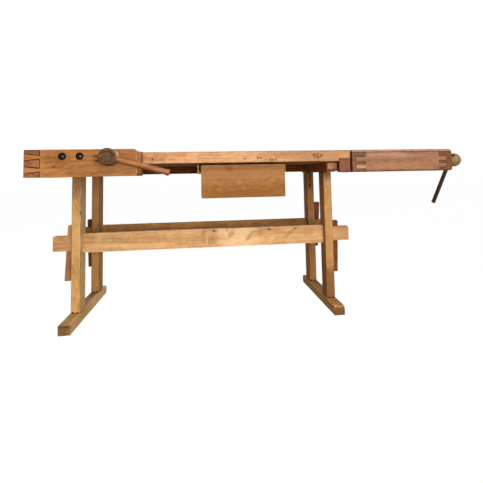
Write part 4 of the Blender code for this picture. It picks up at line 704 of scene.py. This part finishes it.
def grown(tree, mesh, **values):
    """The plain mesh that a tree makes from a mesh and the values of its named inputs."""
    seed = placed("seed", mesh)
    growth = seed.modifiers.new("growth", "NODES")
    growth.node_group = tree
    for item in tree.interface.items_tree:
        key = item.name.replace(" ", "_")
        if item.in_out == "INPUT" and key in values:
            growth[item.identifier] = values[key]
    made = bpy.data.meshes.new_from_object(seed.evaluated_get(bpy.context.evaluated_depsgraph_get()))
    bpy.data.meshes.remove(mesh)
    return made


THREAD_PITCH, THREAD_DEPTH, THREAD_STEP, THREAD_SIDES = 0.012, 0.0032, 0.0010, 40
THREAD_CREST, THREAD_ROOT, PLAIN_END, THREAD_WELD = 0.06, 0.40, 0.002, 0.00002
thread_tree, given, made = new_tree(
    "wooden_thread", Length="Float", Pitch="Float", Crest="Float", Depth="Float", Rows="Int",
    Finish="Material",
)


def reckoned(how, *inputs):
    return add(thread_tree, "Math", *inputs, operation=how).outputs[0]


sheet = add(thread_tree, "GeometryNodeMeshGrid", given["Length"], 1.0, given["Rows"], THREAD_SIDES + 1)
at = add(thread_tree, "SeparateXYZ", add(thread_tree, "GeometryNodeInputPosition").outputs[0])
run, lap = at.outputs[0], at.outputs[1]
turns = reckoned("SUBTRACT", reckoned("DIVIDE", run, given["Pitch"]), lap)
tooth = add(
    thread_tree, "MapRange", reckoned("PINGPONG", turns, 0.5), THREAD_CREST, THREAD_ROOT, 1.0, 0.0,
    interpolation_type="SMOOTHSTEP",
).outputs[0]
left = reckoned("SUBTRACT", reckoned("MULTIPLY", given["Length"], 0.5), reckoned("ABSOLUTE", run))
fade = add(thread_tree, "MapRange", left, PLAIN_END, given["Pitch"], 0.0, 1.0).outputs[0]
groove = reckoned("MULTIPLY", reckoned("MULTIPLY", tooth, fade), given["Depth"])
radius = reckoned("SUBTRACT", given["Crest"], groove)
radius = reckoned("MULTIPLY", radius, reckoned("GREATER_THAN", left, 0.00001))
angle = reckoned("MULTIPLY", lap, 2 * math.pi)
across = reckoned("MULTIPLY", radius, reckoned("COSINE", angle))
upright = reckoned("MULTIPLY", radius, reckoned("SINE", angle))
rolled = add(thread_tree, "CombineXYZ", across, upright, run)
tube = add(thread_tree, "GeometryNodeSetPosition", sheet.outputs[0], None, rolled.outputs[0])
closed = add(thread_tree, "GeometryNodeMergeByDistance", tube.outputs[0])
closed.inputs["Distance"].default_value = THREAD_WELD


def dressed(tree, shape, finish, made):
    """The end of a tree: real geometry in its finish."""
    whole = add(tree, "GeometryNodeRealizeInstances", shape)
    coated = add(tree, "GeometryNodeSetMaterial", whole.outputs[0], None, finish)
    tree.links.new(coated.outputs[0], made)


dressed(thread_tree, closed.outputs[0], given["Finish"], made)


def threaded(name, start, end, crest, finish):
    """A threaded stretch of spindle from start to end, closed at both ends."""
    start, end = Vector(start), Vector(end)
    length = (end - start).length
    mesh = grown(
        thread_tree, bpy.data.meshes.new("empty"), Length=length, Pitch=THREAD_PITCH, Crest=crest,
        Depth=THREAD_DEPTH, Rows=int(length / THREAD_STEP), Finish=finish,
    )
    turn = (end - start).to_track_quat("Z", "Y").to_matrix().to_4x4()
    mesh.transform(Matrix.Translation((start + end) / 2) @ turn)
    shape = bmesh.new()
    shape.from_mesh(mesh)
    bmesh.ops.recalc_face_normals(shape, faces=shape.faces)
    return finished_mesh(name, shape, crease=0.9)


low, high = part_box("front_screw")
hub_face = Vector(((low.x + high.x) / 2, low.y, (low.z + high.z) / 2))
turned_wood = wood(
    "turned_beech", (0.36, 0.178, 0.064), (0.145, 0.066, 0.023), "Y", (-hub_face.x, -hub_face.z),
    ring=0.006, lines=0.4, stain=0.4, end=0.62, checks=0.7, rub=(0.40, 0.235, 0.105), mottle=0.35,
    patches=(
        (hub_face, (0.024, 0.006, 0.024), (0.150, 0.084, 0.040), 0.7),
        # painted highlight on the hub's right side
        (hub_face + Vector((0.034, 0.034, 0.006)), (0.014, 0.026, 0.022), (0.78, 0.56, 0.32), 0.85),
    ),
)
handle_wood = wood(
    "handle_beech", (0.370, 0.152, 0.047), (0.200, 0.073, 0.019), "X", (0.1, 0.1), ring=0.008, end=1.0,
    checks=0.1,
)
HUB_LENGTH, SPINDLE_RADIUS, TIP_RADIUS, TIP_LENGTH, OVERLAP = 0.059, 0.020, 0.013, 0.018, 0.002
hub_profile = [
    (0.0, 0.0020), (0.004, 0.0026), (0.010, 0.0028), (0.0180, 0.0028), (0.0192, 0.0038), (0.0204, 0.0028),
    (0.0222, 0.0026), (0.0238, 0.0008), (0.0256, 0.0002), (0.0276, 0.0002), (0.0296, 0.0010),
    (0.0314, 0.0026), (0.0328, 0.0052), (0.0336, 0.0080), (0.0340, 0.0110), (0.0332, 0.0124),
    (0.0316, 0.0136), (0.0324, 0.0150), (0.0326, 0.0200), (0.0328, 0.0290), (0.0326, 0.0400),
    (0.0322, 0.0470), (0.0314, 0.0492), (0.0330, 0.0508), (0.0340, 0.0524), (0.0340, 0.0560),
    (0.0330, 0.0580), (0.0310, HUB_LENGTH), (0.0180, HUB_LENGTH), (0.0, HUB_LENGTH),
]
HUB_DARK_RINGS, HUB_RIM = ((0.0180, 0.0205), (0.0222, 0.0238), (0.0330, 0.0345)), 0.0238
HUB_DARK_DEPTH, HUB_RING_DARK, HUB_RIM_DEPTH, HUB_WEAR = 0.012, 0.75, 0.008, 0.6
HANDLE_TILT = math.radians(15.7)
HANDLE_RADIUS, KNOB_RADIUS, HANDLE_PLAY = 0.0119, 0.0130, 0.0005
HANDLE_REACH, HANDLE_STUB, HUB_HOLE_LENGTH = 0.237, 0.0515, 0.09
handle_line = Vector((math.cos(HANDLE_TILT), 0.0, -math.sin(HANDLE_TILT)))
hub_middle = hub_face + Vector((0.0, HUB_LENGTH / 2, 0.0))
hole_radius = HANDLE_RADIUS + HANDLE_PLAY
hole = lathe(
    [(0.0, 0.0), (hole_radius, 0.0), (hole_radius, HUB_HOLE_LENGTH), (0.0, HUB_HOLE_LENGTH)],
    hub_middle - HUB_HOLE_LENGTH / 2 * handle_line, handle_line, sides=32,
)
# the hub is painted darker on its lower faces: painted shade
hub = lathe(hub_profile, hub_face, (0.0, 1.0, 0.0), sides=72, downward_shade=0.5)
grime_shade_layer, rubbed = hub.faces.layers.float["grime_and_shade"], hub.faces.layers.float.new("arris")
# the scribed rings near the hub's face are darkened and its rim is lightened
for face in hub.faces:
    middle = face.calc_center_median() - hub_face
    out = math.hypot(middle.x, middle.z)
    if middle.y < HUB_DARK_DEPTH and any(inner < out < outer for inner, outer in HUB_DARK_RINGS):
        face[grime_shade_layer] = HUB_RING_DARK
    elif middle.y < HUB_RIM_DEPTH and out > HUB_RIM:
        face[rubbed] = HUB_WEAR
hub = carved(hub, hole)
set_shape("front_screw_hub", hub, 0.5, turned_wood, "front_screw", "turned_wood", "front_screw")
spindle_start = hub_face + Vector((0.0, HUB_LENGTH - OVERLAP, 0.0))
spindle_end = Vector((hub_face.x, high.y - TIP_LENGTH, hub_face.z))
spindle = threaded("front_screw_spindle", spindle_start, spindle_end, SPINDLE_RADIUS, turned_wood)
set_piece("front_screw_spindle", spindle, turned_wood, "front_screw", "turned_wood")
TIP_LAP, TIP_ROUND = 0.004, 0.002
tip_profile = [
    (0.0, -TIP_LAP), (TIP_RADIUS, -TIP_LAP), (TIP_RADIUS, TIP_LENGTH - TIP_ROUND),
    (TIP_RADIUS - TIP_ROUND, TIP_LENGTH), (0.0, TIP_LENGTH),
]
tip = lathe(tip_profile, spindle_end, (0.0, 1.0, 0.0), sides=40)
set_shape("front_screw_tip", tip, 0.5, turned_wood, "front_screw", "turned_wood")

bar_profile = [
    (0.0, -HANDLE_STUB), (0.0085, -HANDLE_STUB), (0.0112, -0.0507), (0.0126, -0.0488),
    (KNOB_RADIUS, -0.0460), (0.0128, -0.0425), (0.0120, -0.0385), (0.0114, -0.0362),
]
HANDLE_RINGS, FIRST_RING, RING_SPACING = 25, -0.034, 0.0104
HANDLE_WAIST, HANDLE_SWELL, SWELL_LENGTH = 0.0006, 0.0004, 0.215
HANDLE_UNEVEN, UNEVEN_SCALE, UNEVEN_START = 0.0003, 40, (1.3, 7.7)
for i in range(HANDLE_RINGS):
    far = FIRST_RING + RING_SPACING * i
    swell = HANDLE_SWELL * math.sin(math.pi * min(1.0, max(0.0, far / SWELL_LENGTH)))
    uneven = HANDLE_UNEVEN * noise.noise(Vector((far * UNEVEN_SCALE, *UNEVEN_START)))
    bar_profile.append((HANDLE_RADIUS - HANDLE_WAIST + swell + uneven, far))
bar_profile += [
    (0.0111, 0.2195), (0.0110, 0.2215), (0.0117, 0.2235), (0.0126, 0.2270), (KNOB_RADIUS, 0.2300),
    (0.0126, 0.2330), (0.0114, 0.2356), (0.0088, HANDLE_REACH), (0.0, HANDLE_REACH),
]
# the handle bar is painted darker on its underside: painted shade
bar = lathe(bar_profile, hub_middle, handle_line, sides=28, downward_shade=0.6)
set_shape("front_handle_bar", bar, 0.7, handle_wood, "front_handle", "arm_wood", "front_handle")

# Tail vise: a box of reddish wood, finger jointed at both ends under a thin top
# plate, that slides along the slab's front; the fixed jaw is let into the slab.
dark_foot = ((0.70, SLAB_FRONT, 0.713), (0.40, 0.02, 0.0085), (0.07, 0.026, 0.010), 0.95)
tail_wood = wood(
    "tail_pear", (0.33, 0.148, 0.070), (0.15, 0.058, 0.025), "X", (0.14, -0.73), ring=0.02, ripple=0.2,
    rough=0.48,
    patches=(
        # part wear and part painted sheen: a pale greyish band along the upper cheek
        ((0.60, SLAB_FRONT, 0.794), (0.13, 0.05, 0.010), (0.36, 0.21, 0.165), 0.5),
        ((0.72, SLAB_FRONT, 0.788), (0.09, 0.05, 0.009), (0.34, 0.20, 0.155), 0.45),
        ((0.65, SLAB_FRONT, 0.738), (0.20, 0.05, 0.020), (0.38, 0.175, 0.078), 0.6),
        ((0.62, SLAB_FRONT, 0.772), (0.20, 0.05, 0.012), (0.20, 0.085, 0.042), 0.5),
        ((0.47, SLAB_FRONT, 0.735), (0.028, 0.02, 0.010), (0.46, 0.23, 0.115), 0.8),
        dark_foot,
    ),
)
plate_wood = wood(
    "tail_plate_pear", (0.36, 0.20, 0.135), (0.21, 0.10, 0.06), "X", (0.14, -0.73), ring=0.02, ripple=0.2,
    rough=0.45,
)
tail_block_wood = wood(
    "tail_block_pear", (0.31, 0.125, 0.052), (0.17, 0.060, 0.024), "Y", (0.3, -0.7), ring=0.006, lines=0.35,
    end=0.76, checks=0.15, rough=0.5,
    patches=(
        ((0.466, SLAB_FRONT, 0.796), (0.027, 0.012, 0.0095), (0.13, 0.09, 0.063), 0.8),
        dark_foot,
        # painted shade: the rounded right end of the box darker where it turns away
        ((0.943, SLAB_FRONT, 0.76), (0.016, 0.02, 0.08), (0.15, 0.056, 0.022), 0.6),
        ((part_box("tail_jaw_block")[0].x, -0.13, 0.76), (0.003, 0.12, 0.08), (0.16, 0.012, 0.006), 1.0),
    ),
)
fixed_jaw_wood = wood(
    "fixed_jaw_pear", (0.25, 0.085, 0.031), (0.14, 0.044, 0.016), "Z", (0.3, 0.2), ring=0.01,
    patches=(
        # painted shadow: a dark strip down the left edge of the fixed jaw
        ((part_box("fixed_jaw")[0].x, -0.19, 0.745), (0.002, 0.03, 0.08), (0.07, 0.014, 0.008), 0.9),
        ((0.39, SLAB_FRONT, 0.713), (0.05, 0.02, 0.008), (0.06, 0.018, 0.008), 0.8),
    ),
)
box_parts = ("tail_jaw_block", "tail_end_block", "tail_cheek", "tail_top_plate", "tail_guide_bar")
worn("fixed_jaw", fixed_jaw_wood, "bench", "tail_wood", meets=("top_slab",))
for node, material in (
    ("tail_jaw_block", tail_block_wood),
    ("tail_end_block", tail_block_wood),
    ("tail_cheek", tail_wood),
    ("tail_top_plate", plate_wood),
):
    others = [part for part in box_parts if part != node]
    worn(node, material, "tail_vise", "tail_wood", arris=0.0015, dent=0.0002, dirt=0.75, meets=others)
worn("tail_guide_bar", cap_wood, "tail_vise", "cap_wood")
worn("tail_screw_keeper", cap_wood, "tail_vise", "cap_wood")

# Tail screw: turned from one billet, a ball hub on a neck, a groove for the keeper and
# a threaded spindle; a dark bar, shaved to eight faces, slides through the hub.
ball_wood = wood(
    "ball_beech", (0.31, 0.185, 0.075), (0.135, 0.073, 0.028), "X", (-0.13, -0.7665), ring=0.008, lines=0.3,
    stain=0.5, end=0.95, checks=0.4,
)
bar_wood = wood(
    "bar_bog_oak", (0.095, 0.048, 0.018), (0.045, 0.021, 0.009), "Z", (0.1, 0.1), ring=0.006, stain=0.3,
    rough=0.5,
)
low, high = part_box("tail_screw")
axis_y, axis_z = (low.y + high.y) / 2, (low.z + high.z) / 2
block_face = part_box("tail_end_block")[1].x
BALL_RADIUS, BALL_PLACE, NECK_RADIUS, GROOVE_RADIUS = 0.034, 0.060, 0.027, 0.012
TAIL_SPINDLE_RADIUS, GROOVE_PLACE, GROOVE_WIDTH, JOINT_LAP = 0.018, -0.028, 0.0104, 0.004
BALL_STEPS = 28
groove_end = GROOVE_PLACE + GROOVE_WIDTH / 2
ball_profile = [
    (0.0, groove_end - JOINT_LAP), (GROOVE_RADIUS, groove_end - JOINT_LAP), (GROOVE_RADIUS, groove_end),
    (TAIL_SPINDLE_RADIUS, groove_end), (TAIL_SPINDLE_RADIUS, 0.0004), (0.0250, 0.0004), (0.0264, 0.0010),
    (NECK_RADIUS, 0.0030), (NECK_RADIUS, 0.0090), (0.0258, 0.0102), (0.0254, 0.0114), (0.0262, 0.0126),
    (NECK_RADIUS, 0.0140),
]
neck_lift = math.acos(NECK_RADIUS / BALL_RADIUS)
for i in range(BALL_STEPS + 1):
    lift = -neck_lift + (math.pi / 2 + neck_lift) * i / BALL_STEPS
    ball_profile.append((max(0.0, BALL_RADIUS * math.cos(lift)), BALL_PLACE + BALL_RADIUS * math.sin(lift)))
ball_profile[-1] = (0.0, ball_profile[-1][1])
BAR_PLACE, BAR_LEAN = 0.040, math.radians(32.5)
BAR_RADIUS, BAR_KNOB, BAR_REACH, BAR_STUB, BAR_PLAY = 0.0098, 0.0118, 0.276, 0.030, 0.0004
bar_line = Vector((0.0, math.sin(BAR_LEAN), -math.cos(BAR_LEAN)))
bar_middle = Vector((block_face + BAR_PLACE, axis_y, axis_z))
knob_hole, bar_hole, knob_depth, hole_half = BAR_KNOB + BAR_PLAY, BAR_RADIUS + BAR_PLAY, 0.0195, 0.05
hole_profile = [
    (0.0, -hole_half), (knob_hole, -hole_half), (knob_hole, -knob_depth), (bar_hole, -knob_depth),
    (bar_hole, hole_half), (0.0, hole_half),
]
hole = lathe(hole_profile, bar_middle, bar_line, sides=32)
ball = carved(lathe(ball_profile, (block_face, axis_y, axis_z), (1.0, 0.0, 0.0), sides=72), hole)
set_shape("tail_screw_ball", ball, 0.6, ball_wood, "tail_screw", "turned_wood", "tail_screw")
spindle_end = (block_face + GROOVE_PLACE - GROOVE_WIDTH / 2, axis_y, axis_z)
groove_profile = [
    (0.0, -JOINT_LAP), (GROOVE_RADIUS, -JOINT_LAP), (GROOVE_RADIUS, GROOVE_WIDTH + JOINT_LAP / 2),
    (0.0, GROOVE_WIDTH + JOINT_LAP / 2),
]
groove = lathe(groove_profile, spindle_end, (1.0, 0.0, 0.0), sides=40)
set_shape("tail_screw_groove", groove, 0.6, ball_wood, "tail_screw", "turned_wood")
spindle = threaded(
    "tail_screw_spindle", (low.x, axis_y, axis_z), spindle_end, TAIL_SPINDLE_RADIUS, ball_wood
)
set_piece("tail_screw_spindle", spindle, ball_wood, "tail_screw", "turned_wood")
bar_profile = [
    (0.0, -BAR_STUB), (0.0088, -BAR_STUB), (BAR_KNOB, -0.0272), (BAR_KNOB, -0.0240), (0.0100, -0.0206),
    (BAR_RADIUS, -0.0198), (BAR_RADIUS, 0.040), (0.0094, 0.090), (BAR_RADIUS, 0.150), (0.0096, 0.200),
    (BAR_RADIUS, 0.2640), (0.0112, 0.2655), (BAR_KNOB, 0.2670), (0.0108, 0.2690), (0.0040, 0.2752),
    (0.0, BAR_REACH),
]
bar = lathe(bar_profile, bar_middle, bar_line, sides=8)
set_shape("tail_handle_bar", bar, 0.3, bar_wood, "tail_handle", "dark_handle_wood", "tail_handle")

# Drawer: a plain board front nailed to a light box that hangs by side cleats on
# two L-shaped runners under the slab.
DRAWER_MIDDLE, DRAWER_FRONT = -0.09, -0.13
drawer_wood = wood(
    "drawer_beech", (0.39, 0.178, 0.058), (0.22, 0.088, 0.024), "X", (0.18, -0.55), ring=0.026, lines=0.28,
    ripple=0.1, mottle=0.10, gloss=0.08, rub=(0.60, 0.37, 0.21),
    patches=(
        # painted shade: the top of the drawer front darker under the slab's overhang
        ((DRAWER_MIDDLE, DRAWER_FRONT, 0.750), (0.30, 0.05, 0.016), (0.29, 0.108, 0.031), 0.5),
        ((DRAWER_MIDDLE, DRAWER_FRONT, 0.708), (0.30, 0.05, 0.026), (0.47, 0.245, 0.105), 0.4),
        ((-0.165, DRAWER_FRONT, 0.744), (0.022, 0.02, 0.012), (0.20, 0.062, 0.016), 0.6),
        ((DRAWER_MIDDLE, DRAWER_FRONT, 0.600), (0.30, 0.05, 0.066), (0.185, 0.062, 0.010), 0.85),
    ),
)
drawer_side_wood = wood("drawer_side_beech", (0.42, 0.2, 0.08), (0.26, 0.11, 0.04), "Y", (0.2, -0.5))
worn("drawer_front", drawer_wood, "drawer", "drawer_wood")
worn("drawer_back", drawer_wood, "drawer", "drawer_wood")
worn("drawer_bottom", tray_wood, "drawer", "dark_wood")
for side in ("left", "right"):
    worn(f"drawer_{side}_side", drawer_side_wood, "drawer", "drawer_wood")
    worn(f"drawer_{side}_cleat", drawer_side_wood, "drawer", "cap_wood")
    worn(f"{side}_runner", bearer_wood, "bench", "slab_wood")

# Nails and worm holes: old iron nail heads left in the front faces, patches of small pits and
# torn fibres in the slab's edge, and a stripe of flecks on the front stretcher.
PIT_SIDES, NAIL_SIDES, NAIL_HEIGHT = 9, 12, 0.0008
FORWARD, UNIT_DISC = (math.pi / 2, 0.0, 0.0), (1, 1, 1.0, 2.0)
pit_tree, given, made = new_tree(
    "worm_pits", Density="Float", Smallest="Vector", Largest="Vector", Seed="Int", Finish="Material"
)
strewn = add(pit_tree, "GeometryNodeDistributePointsOnFaces", given["Geometry"])
size = add(pit_tree, "FunctionNodeRandomValue", given["Smallest"], given["Largest"], data_type="FLOAT_VECTOR")
disc = add(pit_tree, "GeometryNodeMeshCylinder", PIT_SIDES, *UNIT_DISC)
spread = add(pit_tree, "GeometryNodeInstanceOnPoints", strewn.outputs["Points"])
spread.inputs["Rotation"].default_value = FORWARD
for source, socket in (
    (given["Density"], strewn.inputs["Density"]), (given["Seed"], strewn.inputs["Seed"]),
    (given["Seed"], size.inputs["Seed"]), (disc.outputs["Mesh"], spread.inputs["Instance"]),
    (size.outputs[0], spread.inputs["Scale"]),
):
    pit_tree.links.new(source, socket)
dressed(pit_tree, spread.outputs[0], given["Finish"], made)

nail_tree, given, made = new_tree("nail_heads", Radius="Float", Finish="Material")
points = add(nail_tree, "GeometryNodeMeshToPoints", given["Geometry"])
head = add(nail_tree, "GeometryNodeMeshCylinder", NAIL_SIDES, *UNIT_DISC)
driven = add(nail_tree, "GeometryNodeInstanceOnPoints", points.outputs[0])
driven.inputs["Rotation"].default_value = FORWARD
breadth = add(nail_tree, "CombineXYZ", given["Radius"], given["Radius"], NAIL_HEIGHT)
nail_tree.links.new(head.outputs["Mesh"], driven.inputs["Instance"])
nail_tree.links.new(breadth.outputs[0], driven.inputs["Scale"])
dressed(nail_tree, driven.outputs[0], given["Finish"], made)

pit_dirt = wood("pit_dirt", (0.05, 0.022, 0.010), (0.018, 0.008, 0.004), "X", (0.1, 0.1))
worm_dirt = wood("worm_dirt", (0.11, 0.050, 0.020), (0.042, 0.018, 0.008), "X", (0.1, 0.1))
fleck_dirt = wood("fleck_dirt", (0.24, 0.10, 0.035), (0.13, 0.05, 0.016), "X", (0.1, 0.1))
slab_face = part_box("top_slab")[0].y
corners, sides = [], []
for x_low, x_high, z_low, z_high in (
    (-0.101, -0.091, 0.7765, 0.7840), (-0.038, -0.010, 0.783, 0.796), (0.000, 0.040, 0.770, 0.7795),
    (0.044, 0.067, 0.7785, 0.7830), (0.234, 0.278, 0.783, 0.804),
):
    first = len(corners)
    corners += [(x_low, slab_face, z_low), (x_high, slab_face, z_low), (x_high, slab_face, z_high)]
    corners.append((x_low, slab_face, z_high))
    sides.append((first, first + 1, first + 2, first + 3))
patches = bpy.data.meshes.new("pit_patches")
patches.from_pydata(corners, [], sides)
pits = grown(
    pit_tree, patches, Density=21000.0, Smallest=(0.0014, 0.0011, 0.0005),
    Largest=(0.0056, 0.0030, 0.0009), Seed=4, Finish=worm_dirt,
)
set_piece("slab_worm_pits", pits, worm_dirt, "bench", "dark_wood")
rail_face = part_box("front_stretcher")[0].y
stripe = [(-0.256, 0.352), (-0.228, 0.352), (-0.226, 0.398), (-0.250, 0.398)]
patches = bpy.data.meshes.new("fleck_patches")
patches.from_pydata([(x, rail_face, z) for x, z in stripe], [], [(0, 1, 2, 3)])
flecks = grown(
    pit_tree, patches, Density=9000.0, Smallest=(0.0008, 0.0009, 0.0003),
    Largest=(0.0022, 0.0024, 0.0005), Seed=7, Finish=fleck_dirt,
)
set_piece("stretcher_flecks", flecks, fleck_dirt, "bench", "dark_wood")


def nails(name, places, radius, finish, body, slot):
    """Round heads at their places, as one piece."""
    mesh = bpy.data.meshes.new("nail_places")
    mesh.from_pydata(places, [], [])
    set_piece(name, grown(nail_tree, mesh, Radius=radius, Finish=finish), finish, body, slot)


drawer_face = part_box("drawer_front")[0].y
cheek_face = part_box("tail_cheek")[0].y
nails("slab_nail", [(-0.514, slab_face, 0.788)], 0.0032, rusty_iron, "bench", "bolt_steel")
drawer_places = [(-0.276, drawer_face, 0.734), (-0.277, drawer_face, 0.707)]
nails("drawer_nails", drawer_places, 0.0022, rusty_iron, "drawer", "bolt_steel")
nails("tail_cheek_pit", [(0.738, cheek_face, 0.8055)], 0.0026, pit_dirt, "tail_vise", "dark_wood")
# Dark round marks at the foot of each leg's front face: painted shade of the gaps where the legs meet the
# feet.
TOE_IN_LEFT, TOE_IN_RIGHT, TOE_HEIGHT = 0.011, 0.012, 0.004
toes = []
for side in ("left", "right"):
    for row in ("front", "rear"):
        low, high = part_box(f"{side}_{row}_leg")
        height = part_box(f"{side}_foot")[1].z + TOE_HEIGHT
        toes += [(low.x + TOE_IN_LEFT, low.y, height), (high.x - TOE_IN_RIGHT, low.y, height)]
nails("leg_toe_nails", toes, 0.0046, pit_dirt, "bench", "dark_wood")
